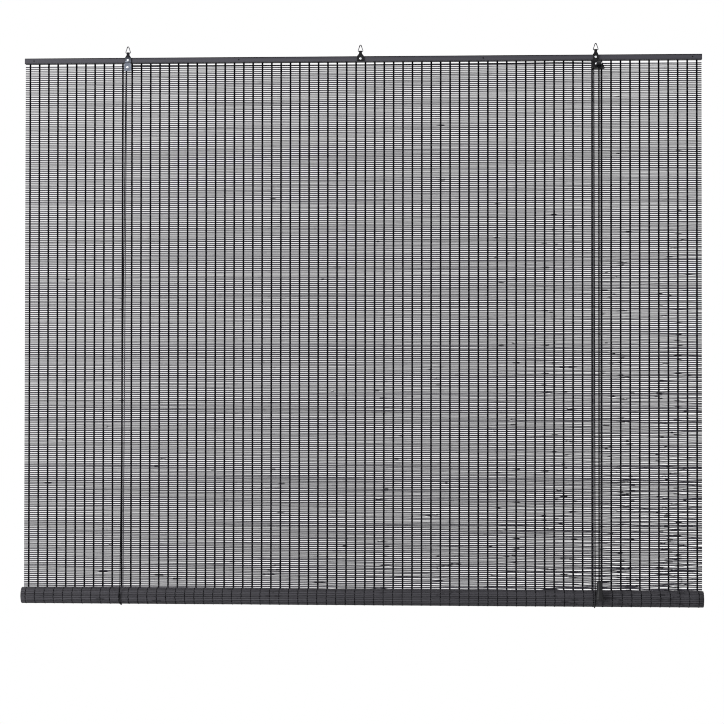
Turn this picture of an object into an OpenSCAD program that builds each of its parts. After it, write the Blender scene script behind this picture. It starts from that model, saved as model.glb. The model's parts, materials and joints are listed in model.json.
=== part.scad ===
/* [Blind] */
// Width of the mat, the headrail and the roll
blind_w = 1800; // [1400:50:2400]
// Drop from the middle of the headrail to the axis of the roll
blind_drop = 1425; // [800:5:1900]

/* [Headrail] */
// Height of both headrail strips
rail_h = 14; // [13:0.5:24]
// Thickness of the front rail
rail_t = 12; // [11:0.5:16]
// Thickness of the back strip
strip_t = 5; // [4.5:0.5:8]
// Radius of a nail's shank
nail_r = 0.9; // [0.6:0.1:1.4]
// Radius of a nail's head
nail_head_r = 2; // [1.6:0.1:3]
// Thickness of a nail's head
nail_head_t = 0.6; // [0.4:0.1:1]
// Distance of the outer nails from the ends of the headrail
nail_end_inset = 25; // [15:1:40]
// Distance of the inner nails from the middle of the blind
nail_inner_x = 325; // [275:50:375]

/* [Mat] */
// Spacing of the bamboo slats
slat_pitch = 5.1; // [4.8:0.1:6]
// Height of one slat
slat_h = 3.5; // [3.2:0.1:4.2]
// Thickness of the mat over its slats
mat_t = 2.4; // [2:0.1:3]
// Thickness of the mat between its slats
web_t = 0.8; // [0.5:0.1:1.2]
// Height of the rounding along a slat's edges
slat_edge_h = 0.6; // [0.4:0.1:0.9]
// Spacing of the warp threads
warp_pitch = 25; // [20:1:40]
// Width of a warp thread
warp_w = 3; // [1.6:0.1:3.6]
// Thickness of a warp thread
warp_t = 0.5; // [0.3:0.1:0.8]

/* [Roll] */
// Outer radius of the roll
roll_r = 23; // [21:0.5:25]
// Gap between two turns of the roll
turn_gap = 0.4; // [0.4:0.05:0.8]
// Radius of the pole inside the roll
pole_r = 9; // [7:0.5:10]

/* [Hangers] */
// Distance of the outer hangers from the middle of the blind
hanger_x = 621; // [600:1:650]
// Thickness of the hanger strip
sheet_t = 1.2; // [1:0.1:1.6]
// Height of the fold that holds a ring, over the middle of the headrail
fold_z = 19; // [17:0.5:24]
// Width of the strip at the fold
neck_w = 7.5; // [6.5:0.1:9]
// Radius of the ring wire
wire_r = 1.1; // [0.9:0.05:1.4]
// Bend radius of a ring's lower corners
ring_corner_r = 2.2; // [1.9:0.1:3]
// Bend radius of a ring's tip
ring_tip_r = 2; // [1.8:0.1:3]
// Height of a ring from its base wire to its tip
ring_rise = 16.9; // [14:0.1:22]
// Radius of a hanger screw's shank
screw_r = 1.6; // [1.2:0.1:2]
// Radius of a hanger screw's head
screw_head_r = 3.2; // [2.8:0.1:4]
// Depth of a hanger screw in the front rail
screw_depth = 9; // [6:0.5:10.5]

/* [Pulleys] */
// Outer radius of a pulley
pulley_r = 7; // [6.6:0.1:7.2]
// Radius of the cord's centre line on a pulley
pulley_pitch_r = 5; // [4.8:0.1:5.2]
// Width of a pulley
pulley_w = 5.4; // [5:0.1:5.6]
// Depth of the pulley axles below the middle of the headrail
pulley_drop = 19.5; // [19.5:0.5:20]
// Radius of a pulley rivet
rivet_r = 1.5; // [1.2:0.1:1.8]
// Radius of a pulley rivet's head
rivet_head_r = 3; // [2.4:0.1:3.4]
// Bottom edge of the left bracket, below the middle of the headrail
left_leg_drop = 29.5; // [28:0.5:34]

/* [Cord lock] */
// Depth of the lock's floor below the middle of the headrail
floor_drop = 30; // [30:0.5:32]
// Reach of the lock's floor from the hanger's middle, to the left
floor_left = 11; // [10:0.5:14]
// Reach of the lock's floor from the hanger's middle, to the right
floor_right = 22.6; // [16:0.1:26]
// Distance of the floor's rounded lip in front of the headrail
lip_reach = 26.6; // [26.6:0.1:27]
// Radius of the lip that the pull cords hang over
lip_r = 3.6; // [3.2:0.1:3.7]
// Largest radius of the toothed cam
cam_r = 7.6; // [7:0.1:7.6]
// Radius of the cam's pin
cam_pin_r = 1.5; // [1.2:0.1:1.8]

/* [Cords] */
// Radius of the lift and pull cords
cord_r = 1.2; // [1:0.05:1.25]
// Outer radius of the tassel
tassel_r = 12; // [10:0.5:12]
// Height of the tassel
tassel_h = 48; // [40:1:60]

/* [Hidden] */
$fn = 48;

// Clearances and the overrun of cuts
running_gap = 0.05;
side_gap = 0.3;
cord_gap = 0.3;
cut = 1;

// Planes of the headrail and the mat, from the wall towards the room
mat_back = -strip_t;
mat_front = mat_back - mat_t;
mat_mid = mat_back - mat_t / 2;
rail_front = mat_front - rail_t;
rail_top = rail_h / 2;
rail_bottom = -rail_h / 2;

// Mat and roll
valley_h = slat_pitch - slat_h;
roll_y = mat_back - roll_r;
roll_z = -blind_drop;
mat_bottom = roll_z + side_gap;
slat_n = floor((rail_top - mat_bottom) / slat_pitch);
gap_every = 3;
gap_h = gap_every * valley_h;
gap_n = floor((rail_bottom - mat_bottom - slat_pitch) / (gap_every * slat_pitch));
warp_n = floor(blind_w / warp_pitch);
warp_xs = [for (i = [0 : warp_n - 1]) (i - (warp_n - 1) / 2) * warp_pitch];
gap_len = last_of(warp_xs) - warp_xs[0];
turn_pitch_rad = (mat_t + turn_gap) / (2 * PI);
roll_mid_r = roll_r - mat_t / 2;
roll_last_r = pole_r + turn_gap + mat_t / 2;
roll_len = (roll_mid_r * roll_mid_r - roll_last_r * roll_last_r) / (2 * turn_pitch_rad);
roll_slat_n = floor(roll_len / slat_pitch);

// Folded hanger strips
ring_base_share = 0.9;
ring_base_r = wire_r * ring_base_share;
ring_sides = 12;
wire_bore_r = ring_base_r + running_gap;
fold_r = wire_bore_r + sheet_t;
fold_y = rail_front - fold_r;
leg_back_y = rail_front - sheet_t;
neck_leg_y = fold_y - wire_bore_r;
shoulder_share = 0.72;
shoulder_z = fold_z * shoulder_share;
joggle_top_z = -5.5;
joggle_drop_share = 0.6;
joggle_rise = sheet_t * (norm([1, joggle_drop_share]) - joggle_drop_share);
left_half_w = 8;
left_low_half_w = 9.5;
centre_half_w = 9;
centre_leg_drop = 5.5;
right_half_w = 7;
right_mid_w = 14;
flare_top_z = -11;
screw_z = 0;
screw_head_t = 1.5;
rivet_head_t = 1.2;
chamfer_share = 0.4;
ring_half_w = neck_w / 2 + side_gap;

// Pulleys and the cord lock
pulley_z = -pulley_drop;
groove_floor_r = pulley_pitch_r - cord_r - cord_gap;
groove_half_w = cord_r + cord_gap;
groove_top_share = 0.78;
left_leg_gap = pulley_w + 2 * side_gap;
right_leg_gap = 2 * pulley_w + 3 * side_gap;
left_pulley_y = leg_back_y - side_gap - pulley_w / 2;
right_front_pulley_y = left_pulley_y - pulley_w - side_gap;
floor_z = -floor_drop;
lip_y = rail_front - lip_reach;
lip_z = floor_z - lip_r;
lock_left_reach = 2.1;
lock_right_reach = 11.9;
lock_left_x = hanger_x + lock_left_reach;
lock_right_x = hanger_x + lock_right_reach;
lock_mid_x = (lock_left_x + lock_right_x) / 2;
lock_inner_w = lock_right_x - lock_left_x;
cheek_depth = 12;
cheek_top_z = -14.5;
cheek_round_r = 5;
notch_top_z = -23;
floor_hole_r = 2.2;
cam_setback = 4.5;
cam_y = lip_y + cam_setback;
cam_low_r = 5.6;
cam_hub_r = 4.2;
cam_sweep = 100;
cam_full_angle = 70;
cam_tooth_n = 10;
cam_hub_steps = 16;
cam_tooth_depth = 0.7;
cam_pin_head_r = 2.6;
cam_pin_head_t = 1;

// Cords, with route points chosen along what guides them
cord_sides = 8;
sling_r = roll_r + cord_gap + cord_r;
left_sling_x = -634;
right_sling_x = 617;
left_hole_x = -628;
right_hole_x = 617;
hole_y = mat_back / 2;
knot_r = 2.3;
knot_sink_share = 0.6;
arc_steps = 5;
tassel_side = 6;
tassel_x = hanger_x + tassel_side;
tassel_gap = 1;
tassel_y = roll_y - roll_r - tassel_r - tassel_gap;
tassel_top_z = roll_z + tassel_h;
tassel_hole_r = 2.8;
tassel_cavity_r = 6.5;
tassel_cavity_share = 0.3;
tassel_knot_r = 5.5;
tassel_shares = [
    [0.36, 0], [0.46, 0.05], [0.5, 0.2], [0.62, 0.42],
    [0.82, 0.66], [0.97, 0.86], [1, 0.95], [0.94, 1]
];
cord_a_side = 5;
cord_b_side = 8.5;
cord_a_x = hanger_x + cord_a_side;
cord_b_x = hanger_x + cord_b_side;
cord_lift = 0.2;
cord_floor_z = floor_z + cord_r + cord_lift;
cord_hang_y = lip_y - lip_r - cord_r - cord_lift;
cross_middle = [
    [-400, -24, -16], [0, -26, -17], [400, -28, -16]
];
cord_b_bend = [
    [5.4, -23.8, -22], [6.6, -24.6, -25], [8, -26.8, -27.6], [cord_b_side, -31, -28.6]
];
cord_a_bend = [
    [cord_a_side, -29.8, -23.6], [cord_a_side, -31.2, -26.6], [cord_a_side, -34, -28.6]
];

function last_of(list) = list[len(list) - 1];

function reversed(list) = [for (i = [len(list) - 1 : -1 : 0]) list[i]];

function unit(v) = v / norm(v);

// One face of a row of slats: distance along the mat and height over its middle
function ridge_points(n) = [
    for (i = [0 : n - 1]) each [
        [i * slat_pitch, web_t / 2],
        [i * slat_pitch + valley_h / 2, mat_t / 2],
        [(i + 1) * slat_pitch - valley_h / 2, mat_t / 2]
    ],
    [n * slat_pitch, web_t / 2]
];

// One face of the hanging slats, which stand together in threes so that their gaps gather into one
function bundle_points(n) = concat(
    [[0, web_t / 2]],
    [
        for (i = [0 : n - 1])
            let (
                place = i % gap_every,
                foot = (i - place) * slat_pitch + gap_h / 2 + place * slat_h,
                ends = place == gap_every - 1 || i == n - 1
            )
            each concat(
                [
                    [foot, web_t / 2],
                    [foot + slat_edge_h, mat_t / 2],
                    [foot + slat_h - slat_edge_h, mat_t / 2]
                ],
                ends ? [[foot + slat_h, web_t / 2]] : []
            )
    ],
    [[n * slat_pitch, web_t / 2]]
);

// Angle turned, in radians, after a length of mat has gone onto the roll
function roll_angle(s) =
    (roll_mid_r - sqrt(roll_mid_r * roll_mid_r - 2 * turn_pitch_rad * s)) / turn_pitch_rad;

// A point of the roll's section, s along the mat and h outwards from its middle
function roll_point(s, h) =
    let (a = roll_angle(s), r = roll_mid_r - turn_pitch_rad * a + h, d = a * 180 / PI)
    [roll_y + r * cos(d), roll_z - r * sin(d)];

// Points of an arc about a centre, between two directions u and v at right angles
function arc_points(centre, u, v, r, from, to) = [
    for (i = [0 : arc_steps])
        let (a = from + (to - from) * i / arc_steps)
        centre + r * (cos(a) * u + sin(a) * v)
];

function tangent(path, i) =
    unit(path[min(i + 1, len(path) - 1)] - path[max(i - 1, 0)]);

// Rings of a tube's points about each point of its path
function tube_points(path, r, sides) = [
    for (i = [0 : len(path) - 1])
        let (t = tangent(path, i), u = unit(cross(t, [1, 1, 1])), v = cross(t, u))
        for (k = [0 : sides - 1])
            let (a = 360 * (k + 0.5) / sides)
            path[i] + r * (cos(a) * u + sin(a) * v)
];

function tube_faces(n, sides) = [
    [for (k = [0 : sides - 1]) k],
    for (i = [0 : n - 2])
        for (k = [0 : sides - 1])
            let (j = (k + 1) % sides)
            [(i + 1) * sides + k, (i + 1) * sides + j, i * sides + j, i * sides + k],
    [for (k = [sides - 1 : -1 : 0]) (n - 1) * sides + k]
];

module tube(path, r, sides = cord_sides) {
    polyhedron(points = tube_points(path, r, sides), faces = tube_faces(len(path), sides));
}

// A section drawn in y and z, drawn out along x about the middle
module along_x(length) {
    rotate([90, 0, 90])
        linear_extrude(height = length, center = true)
            children();
}

// An outline drawn in x and z, drawn out from y towards the room
module towards_room(y, depth) {
    translate([0, y, 0])
        rotate([90, 0, 0])
            linear_extrude(height = depth)
                children();
}

module bore_y(x, z, r, y, depth) {
    translate([x, y, z])
        rotate([90, 0, 0])
            cylinder(r = r, h = depth);
}

// A turned pin with a chamfered head; the head's seat is at zero and the shank goes up
module headed_pin(shank_r, shank_l, head_r, head_t) {
    rotate_extrude()
        polygon([
            [0, shank_l], [shank_r, shank_l], [shank_r, 0], [head_r, 0],
            [head_r, -head_t * (1 - chamfer_share)], [head_r - head_t * chamfer_share, -head_t], [0, -head_t]
        ]);
}

module nail_places() {
    outer_x = blind_w / 2 - nail_end_inset;
    for (x = [-outer_x, -nail_inner_x, nail_inner_x, outer_x])
        translate([x, 0, 0])
            children();
}

module headrail_back_strip() {
    color("#58575d")
        difference() {
            translate([-blind_w / 2, -strip_t, rail_bottom])
                cube([blind_w, strip_t, rail_h]);
            for (x = [left_hole_x, right_hole_x])
                translate([x, hole_y, rail_bottom - cut])
                    cylinder(r = cord_r + cord_gap / 2, h = rail_h + 2 * cut);
            nail_places()
                bore_y(0, 0, nail_r, -strip_t / 2, strip_t);
        }
}

module headrail_front_rail() {
    color("#4e4d54")
        difference() {
            translate([-blind_w / 2, rail_front, rail_bottom])
                cube([blind_w, rail_t, rail_h]);
            nail_places()
                bore_y(0, 0, nail_r, mat_front + cut, rail_t + 2 * cut);
            for (x = [-hanger_x, 0, hanger_x])
                bore_y(x, screw_z, screw_r, rail_front + screw_depth, screw_depth + cut);
        }
}

module headrail_nails() {
    color("#2a2a2e")
        nail_places()
            translate([0, rail_front, 0])
                rotate([-90, 0, 0])
                    headed_pin(nail_r, -strip_t / 2 - rail_front, nail_head_r, nail_head_t);
}

module mat() {
    ridges = bundle_points(slat_n);
    color("#77767b")
        difference() {
            along_x(blind_w)
                polygon(concat(
                    [for (p = ridges) [mat_mid - p[1], mat_bottom + p[0]]],
                    [for (p = reversed(ridges)) [mat_mid + p[1], mat_bottom + p[0]]]
                ));
            for (i = [1 : gap_n])
                translate([-gap_len / 2, mat_front - cut, mat_bottom + i * gap_every * slat_pitch - gap_h / 2])
                    cube([gap_len, mat_t + 2 * cut, gap_h]);
        }
}

module warp_threads(y, foot_z) {
    color("#1d1d20")
        for (x = warp_xs)
            translate([x - warp_w / 2, y, foot_z])
                cube([warp_w, warp_t, rail_bottom - side_gap - foot_z]);
}

// The front threads stop one slat higher, clear of the roll's next turn
module warp_threads_front() {
    warp_threads(mat_front - warp_t, mat_bottom + slat_pitch);
}

module warp_threads_back() {
    warp_threads(mat_back, mat_bottom);
}

module roll_turns() {
    ridges = ridge_points(roll_slat_n);
    color("#424046")
        along_x(blind_w)
            polygon(concat(
                [for (p = ridges) roll_point(p[0], p[1])],
                [for (p = reversed(ridges)) roll_point(p[0], -p[1])]
            ));
}

module bottom_pole() {
    color("#8a7a62")
        translate([0, roll_y, roll_z])
            rotate([0, 90, 0])
                cylinder(r = pole_r, h = blind_w, center = true);
}

// Section of a strip folded over the ring wire, its front leg stepped out by the gap below
module fold_section(leg_gap, bottom_z) {
    leg_y = leg_back_y - leg_gap;
    step_z = joggle_top_z - joggle_drop_share * (neck_leg_y - leg_y);
    translate([leg_back_y, bottom_z])
        square([sheet_t, fold_z - bottom_z]);
    intersection() {
        translate([fold_y, fold_z])
            difference() {
                circle(r = fold_r);
                circle(r = wire_bore_r);
            }
        translate([fold_y - fold_r, fold_z])
            square([2 * fold_r, fold_r]);
    }
    polygon([
        [neck_leg_y - sheet_t, fold_z], [neck_leg_y - sheet_t, joggle_top_z + joggle_rise],
        [leg_y - sheet_t, step_z + joggle_rise], [leg_y - sheet_t, bottom_z],
        [leg_y, bottom_z], [leg_y, step_z],
        [neck_leg_y, joggle_top_z], [neck_leg_y, fold_z]
    ]);
}

// Section of the centre hanger, whose two legs stay parallel
module flat_fold_section(bottom_z) {
    fold_section_h = fold_z - bottom_z;
    translate([leg_back_y, bottom_z])
        square([sheet_t, fold_section_h]);
    translate([neck_leg_y - sheet_t, bottom_z])
        square([sheet_t, fold_section_h]);
    intersection() {
        translate([fold_y, fold_z])
            difference() {
                circle(r = fold_r);
                circle(r = wire_bore_r);
            }
        translate([fold_y - fold_r, fold_z])
            square([2 * fold_r, fold_r]);
    }
}

// Right and left half of a strip's outline, from the fold down to its shoulder
function neck_points() = [
    [-neck_w / 2, shoulder_z], [-neck_w / 2, fold_z + fold_r],
    [neck_w / 2, fold_z + fold_r], [neck_w / 2, shoulder_z]
];

module hanger_holes(depth) {
    bore_y(0, screw_z, screw_r, rail_front + cut, depth);
    bore_y(0, pulley_z, rivet_r, rail_front + cut, depth);
}

module left_bracket() {
    depth = left_leg_gap + 2 * sheet_t + 2 * cut;
    bottom_z = -left_leg_drop;
    color("#59606c")
        translate([-hanger_x, 0, 0])
            difference() {
                intersection() {
                    along_x(2 * left_low_half_w)
                        fold_section(left_leg_gap, bottom_z);
                    towards_room(rail_front + cut, depth)
                        polygon(concat(neck_points(), [
                            [left_half_w, rail_top], [left_half_w, flare_top_z],
                            [left_low_half_w, step_down(flare_top_z)], [left_low_half_w, bottom_z],
                            [-left_low_half_w, bottom_z], [-left_low_half_w, step_down(flare_top_z)],
                            [-left_half_w, flare_top_z], [-left_half_w, rail_top]
                        ]));
                }
                hanger_holes(depth);
            }
}

// Height at which a bracket has widened out below its flare
function step_down(z) = z - (left_low_half_w - left_half_w);

module centre_hanger() {
    depth = 2 * fold_r + 2 * cut;
    bottom_z = -centre_leg_drop;
    color("#1f1f22")
        difference() {
            intersection() {
                along_x(2 * centre_half_w)
                    flat_fold_section(bottom_z);
                towards_room(rail_front + cut, depth)
                    polygon(concat(neck_points(), [
                        [centre_half_w, rail_top], [centre_half_w, bottom_z],
                        [-centre_half_w, bottom_z], [-centre_half_w, rail_top]
                    ]));
            }
            bore_y(0, screw_z, screw_r, rail_front + cut, depth);
        }
}

// Floor of the lock with its lip turned down in front
module lock_floor_section() {
    translate([lip_y, floor_z - sheet_t])
        square([rail_front - lip_y, sheet_t]);
    intersection() {
        translate([lip_y, lip_z])
            difference() {
                circle(r = lip_r);
                circle(r = lip_r - sheet_t);
            }
        translate([lip_y - lip_r, lip_z])
            square([lip_r, lip_r]);
    }
}

// Side of one cheek, rounded in front at the top
module cheek_section() {
    difference() {
        translate([lip_y, floor_z])
            square([cheek_depth, cheek_top_z - floor_z]);
        translate([lip_y, cheek_top_z - cheek_round_r])
            difference() {
                square([cheek_round_r, cheek_round_r]);
                translate([cheek_round_r, 0])
                    circle(r = cheek_round_r);
            }
    }
}

module right_bracket() {
    depth = right_leg_gap + 2 * sheet_t + 2 * cut;
    color("#1f1f22")
        difference() {
            union() {
                translate([hanger_x, 0, 0])
                    intersection() {
                        along_x(2 * floor_right)
                            fold_section(right_leg_gap, floor_z);
                        towards_room(rail_front + cut, depth)
                            polygon(concat(neck_points(), [
                                [right_half_w, rail_top], [right_half_w, rail_bottom],
                                [right_mid_w, flare_top_z], [floor_right, floor_z],
                                [-floor_left, floor_z], [-floor_left, flare_top_z],
                                [-right_half_w, rail_bottom], [-right_half_w, rail_top]
                            ]));
                    }
                translate([hanger_x + (floor_right - floor_left) / 2, 0, 0])
                    along_x(floor_left + floor_right)
                        lock_floor_section();
                for (x = [lock_left_x - sheet_t / 2, lock_right_x + sheet_t / 2])
                    translate([x, 0, 0])
                        along_x(sheet_t)
                            cheek_section();
            }
            translate([hanger_x, 0, 0])
                hanger_holes(depth);
            translate([lock_left_x, leg_back_y - right_leg_gap - sheet_t - cut, floor_z])
                cube([lock_inner_w, sheet_t + 2 * cut, notch_top_z - floor_z]);
            translate([hanger_x - pulley_pitch_r, left_pulley_y, floor_z - sheet_t - cut])
                cylinder(r = floor_hole_r, h = sheet_t + 2 * cut);
            translate([lock_mid_x, cam_y, pulley_z])
                rotate([0, 90, 0])
                    cylinder(r = cam_pin_r, h = lock_inner_w + 2 * sheet_t + 2 * cut, center = true);
        }
}

// A screw through both legs of a hanger into the front rail, its head on the front leg
module hanger_screw(x) {
    color("#c9ccd0")
        translate([x, neck_leg_y - sheet_t, screw_z])
            rotate([-90, 0, 0])
                headed_pin(screw_r, rail_front + screw_depth - neck_leg_y + sheet_t, screw_head_r, screw_head_t);
}

module left_bracket_screw() {
    hanger_screw(-hanger_x);
}

module centre_hanger_screw() {
    hanger_screw(0);
}

module right_bracket_screw() {
    hanger_screw(hanger_x);
}

// Route of a ring's wire, from one end of its straight base round to the other
function ring_route() =
    let (
        rise = ring_rise - ring_corner_r - ring_tip_r,
        span = norm([ring_half_w, rise]),
        a = atan2(rise, -ring_half_w) - acos((ring_corner_r - ring_tip_r) / span),
        across = [1, 0, 0],
        up = [0, 0, 1],
        corner = ring_corner_r * up
    )
    concat(
        arc_points(corner + ring_half_w * across, across, up, ring_corner_r, -90, a),
        arc_points(corner + rise * up, across, up, ring_tip_r, a, 180 - a),
        arc_points(corner - ring_half_w * across, across, up, ring_corner_r, 180 - a, 270)
    );

// A closed pear-shaped wire ring standing on its straight base wire
module wire_ring(x) {
    color("#c9ccd0")
        translate([x, fold_y, fold_z]) {
            tube(ring_route(), wire_r, ring_sides);
            rotate([0, 90, 0])
                cylinder(r = ring_base_r, h = 2 * ring_half_w + wire_r, center = true);
        }
}

module left_ring() {
    wire_ring(-hanger_x);
}

module centre_ring() {
    wire_ring(0);
}

module right_ring() {
    wire_ring(hanger_x);
}

// A grooved pulley on its axle
module pulley(x, y) {
    half_w = pulley_w / 2;
    groove_top_half_w = half_w * groove_top_share;
    color("#3a3a3e")
        translate([x, y, pulley_z])
            rotate([90, 0, 0])
                rotate_extrude()
                    polygon([
                        [rivet_r + running_gap, -half_w], [pulley_r, -half_w],
                        [pulley_r, -groove_top_half_w], [groove_floor_r, -groove_half_w],
                        [groove_floor_r, groove_half_w], [pulley_r, groove_top_half_w],
                        [pulley_r, half_w], [rivet_r + running_gap, half_w]
                    ]);
}

module left_pulley() {
    pulley(-hanger_x, left_pulley_y);
}

module right_back_pulley() {
    pulley(hanger_x, left_pulley_y);
}

module right_front_pulley() {
    pulley(hanger_x, right_front_pulley_y);
}

// A rivet through both legs of a bracket, with its tail spread behind the back leg
module pulley_rivet(x, leg_gap) {
    length = leg_gap + 2 * sheet_t;
    color("#c9ccd0")
        translate([x, rail_front - length, pulley_z])
            rotate([-90, 0, 0]) {
                headed_pin(rivet_r, length, rivet_head_r, rivet_head_t);
                translate([0, 0, length])
                    cylinder(r = rivet_head_r, h = rivet_head_t);
            }
}

module left_pulley_rivet() {
    pulley_rivet(-hanger_x, left_leg_gap);
}

module right_pulley_rivet() {
    pulley_rivet(hanger_x, right_leg_gap);
}

// A point of the cam's outline, its angle counted from straight down towards the room
function cam_point(angle, r) = [-r * sin(angle), -r * cos(angle)];

function cam_radius(angle) = cam_low_r + (cam_r - cam_low_r) * min(angle / cam_full_angle, 1);

// Saw teeth along the cam's rising edge, closed by the round of its hub
function cam_outline() = [
    for (i = [0 : cam_tooth_n - 1]) each [
        let (a = cam_sweep * i / cam_tooth_n) cam_point(a, cam_radius(a) - cam_tooth_depth),
        let (a = cam_sweep * (i + 1) / cam_tooth_n) cam_point(a, cam_radius(a))
    ],
    for (i = [0 : cam_hub_steps])
        cam_point(cam_sweep + (360 - cam_sweep) * i / cam_hub_steps, cam_hub_r)
];

module lock_cam() {
    color("#2c2c30")
        translate([lock_mid_x, cam_y, pulley_z])
            difference() {
                along_x(lock_inner_w - 2 * side_gap)
                    polygon(cam_outline());
                rotate([0, 90, 0])
                    cylinder(r = cam_pin_r + running_gap, h = lock_inner_w + cut, center = true);
            }
}

module lock_cam_pin() {
    length = lock_inner_w + 2 * sheet_t;
    color("#c9ccd0")
        translate([lock_mid_x - length / 2, cam_y, pulley_z])
            rotate([0, 90, 0]) {
                headed_pin(cam_pin_r, length, cam_pin_head_r, cam_pin_head_t);
                translate([0, 0, length])
                    cylinder(r = cam_pin_head_r, h = cam_pin_head_t);
            }
}

module lift_cord_knots() {
    color("#1d1d20")
        for (x = [left_hole_x, right_hole_x])
            translate([x, hole_y, rail_top])
                intersection() {
                    translate([0, 0, knot_r * knot_sink_share])
                        sphere(r = knot_r);
                    translate([-knot_r, -knot_r, 0])
                        cube([2 * knot_r, 2 * knot_r, 2 * knot_r]);
                }
}

module back_run(hole_x, sling_x) {
    color("#1d1d20")
        tube([
            [hole_x, hole_y, rail_top],
            [hole_x, hole_y, rail_bottom],
            [sling_x, roll_y + sling_r, roll_z + cord_gap]
        ], cord_r);
}

module left_cord_back_run() {
    back_run(left_hole_x, left_sling_x);
}

module right_cord_back_run() {
    back_run(right_hole_x, right_sling_x);
}

// Half turn of cord under the roll
module sling(x) {
    color("#1d1d20")
        translate([x, roll_y, roll_z])
            rotate([90, 0, 90])
                rotate([0, 0, 180])
                    rotate_extrude(angle = 180)
                        translate([sling_r, 0])
                            circle(r = cord_r);
}

module left_cord_sling() {
    sling(left_sling_x);
}

module right_cord_sling() {
    sling(right_sling_x);
}

module front_run(sling_x, pulley_x) {
    color("#1d1d20")
        tube([
            [sling_x, roll_y - sling_r, roll_z + cord_gap],
            [pulley_x - pulley_pitch_r, left_pulley_y, pulley_z - cord_gap]
        ], cord_r);
}

module left_cord_front_run() {
    front_run(left_sling_x, -hanger_x);
}

module right_cord_front_run() {
    front_run(right_sling_x, hanger_x);
}

// Route points that are given from the right hanger's middle
function from_hanger(route) = [for (p = route) p + [hanger_x, 0, 0]];

// Part of a cord that goes forward over the floor's lip
function lip_route(x) = concat(
    [[x, lip_y, cord_floor_z]],
    arc_points([x, lip_y, lip_z], [0, 0, 1], [0, -1, 0], cord_floor_z - lip_z, 10, 90)
);

// Cord from the left pulley, across below the headrail, to the lip of the lock
module cross_cord() {
    color("#1d1d20")
        tube(concat(
            arc_points([-hanger_x, left_pulley_y, pulley_z], [-1, 0, 0], [0, 0, 1], pulley_pitch_r, 0, 90),
            cross_middle,
            arc_points([hanger_x, right_front_pulley_y, pulley_z], [-1, 0, 0], [0, 0, 1], pulley_pitch_r, 90, 180),
            from_hanger(cord_a_bend),
            lip_route(cord_a_x)
        ), cord_r);
}

// Cord from the right lift run, over the back pulley, to the lip of the lock
module right_lock_cord() {
    color("#1d1d20")
        tube(concat(
            arc_points([hanger_x, left_pulley_y, pulley_z], [-1, 0, 0], [0, 0, 1], pulley_pitch_r, 0, 180),
            from_hanger(cord_b_bend),
            lip_route(cord_b_x)
        ), cord_r);
}

// Free end of a cord, from the lip down into the tassel
module pull_cord(x, side) {
    end_x = tassel_x + side * (cord_r + cord_gap / 2);
    color("#1d1d20")
        tube([
            [x, cord_hang_y, lip_z],
            [end_x, tassel_y, tassel_top_z + tassel_r],
            [end_x, tassel_y, tassel_top_z - tassel_h * (1 - tassel_cavity_share) + cord_gap]
        ], cord_r);
}

module pull_cord_a() {
    pull_cord(cord_a_x, -1);
}

module pull_cord_b() {
    pull_cord(cord_b_x, 1);
}

module tassel() {
    cavity_h = tassel_h * tassel_cavity_share;
    color("#232326")
        translate([tassel_x, tassel_y, tassel_top_z])
            rotate_extrude()
                polygon(concat(
                    [for (s = tassel_shares) [s[0] * tassel_r, -s[1] * tassel_h]],
                    [
                        [tassel_cavity_r, -tassel_h], [tassel_cavity_r, cavity_h - tassel_h],
                        [tassel_hole_r, cavity_h - tassel_h], [tassel_hole_r, 0]
                    ]
                ));
}

module tassel_knot() {
    cavity_h = tassel_h * tassel_cavity_share;
    color("#1d1d20")
        translate([tassel_x, tassel_y, tassel_top_z - tassel_h + cavity_h - tassel_knot_r])
            sphere(r = tassel_knot_r);
}

headrail_back_strip();
headrail_front_rail();
headrail_nails();
mat();
warp_threads_front();
warp_threads_back();
roll_turns();
bottom_pole();
left_bracket();
left_bracket_screw();
left_ring();
left_pulley();
left_pulley_rivet();
centre_hanger();
centre_hanger_screw();
centre_ring();
right_bracket();
right_bracket_screw();
right_ring();
right_back_pulley();
right_front_pulley();
right_pulley_rivet();
lock_cam();
lock_cam_pin();
lift_cord_knots();
left_cord_back_run();
left_cord_sling();
left_cord_front_run();
right_cord_back_run();
right_cord_sling();
right_cord_front_run();
cross_cord();
right_lock_cord();
pull_cord_a();
pull_cord_b();
tassel();
tassel_knot();
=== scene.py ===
"""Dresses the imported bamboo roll-up blind: woven mat, roll, headrail, hangers, cords and studio."""

import json
import logging
import math
from dataclasses import dataclass, field
from enum import Enum
from functools import cache
from typing import Sequence

import bmesh
import bpy
import numpy as np
from bpy.types import Material, Node, NodeSocket, NodeTree, Object
from mathutils import Matrix, Vector

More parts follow.
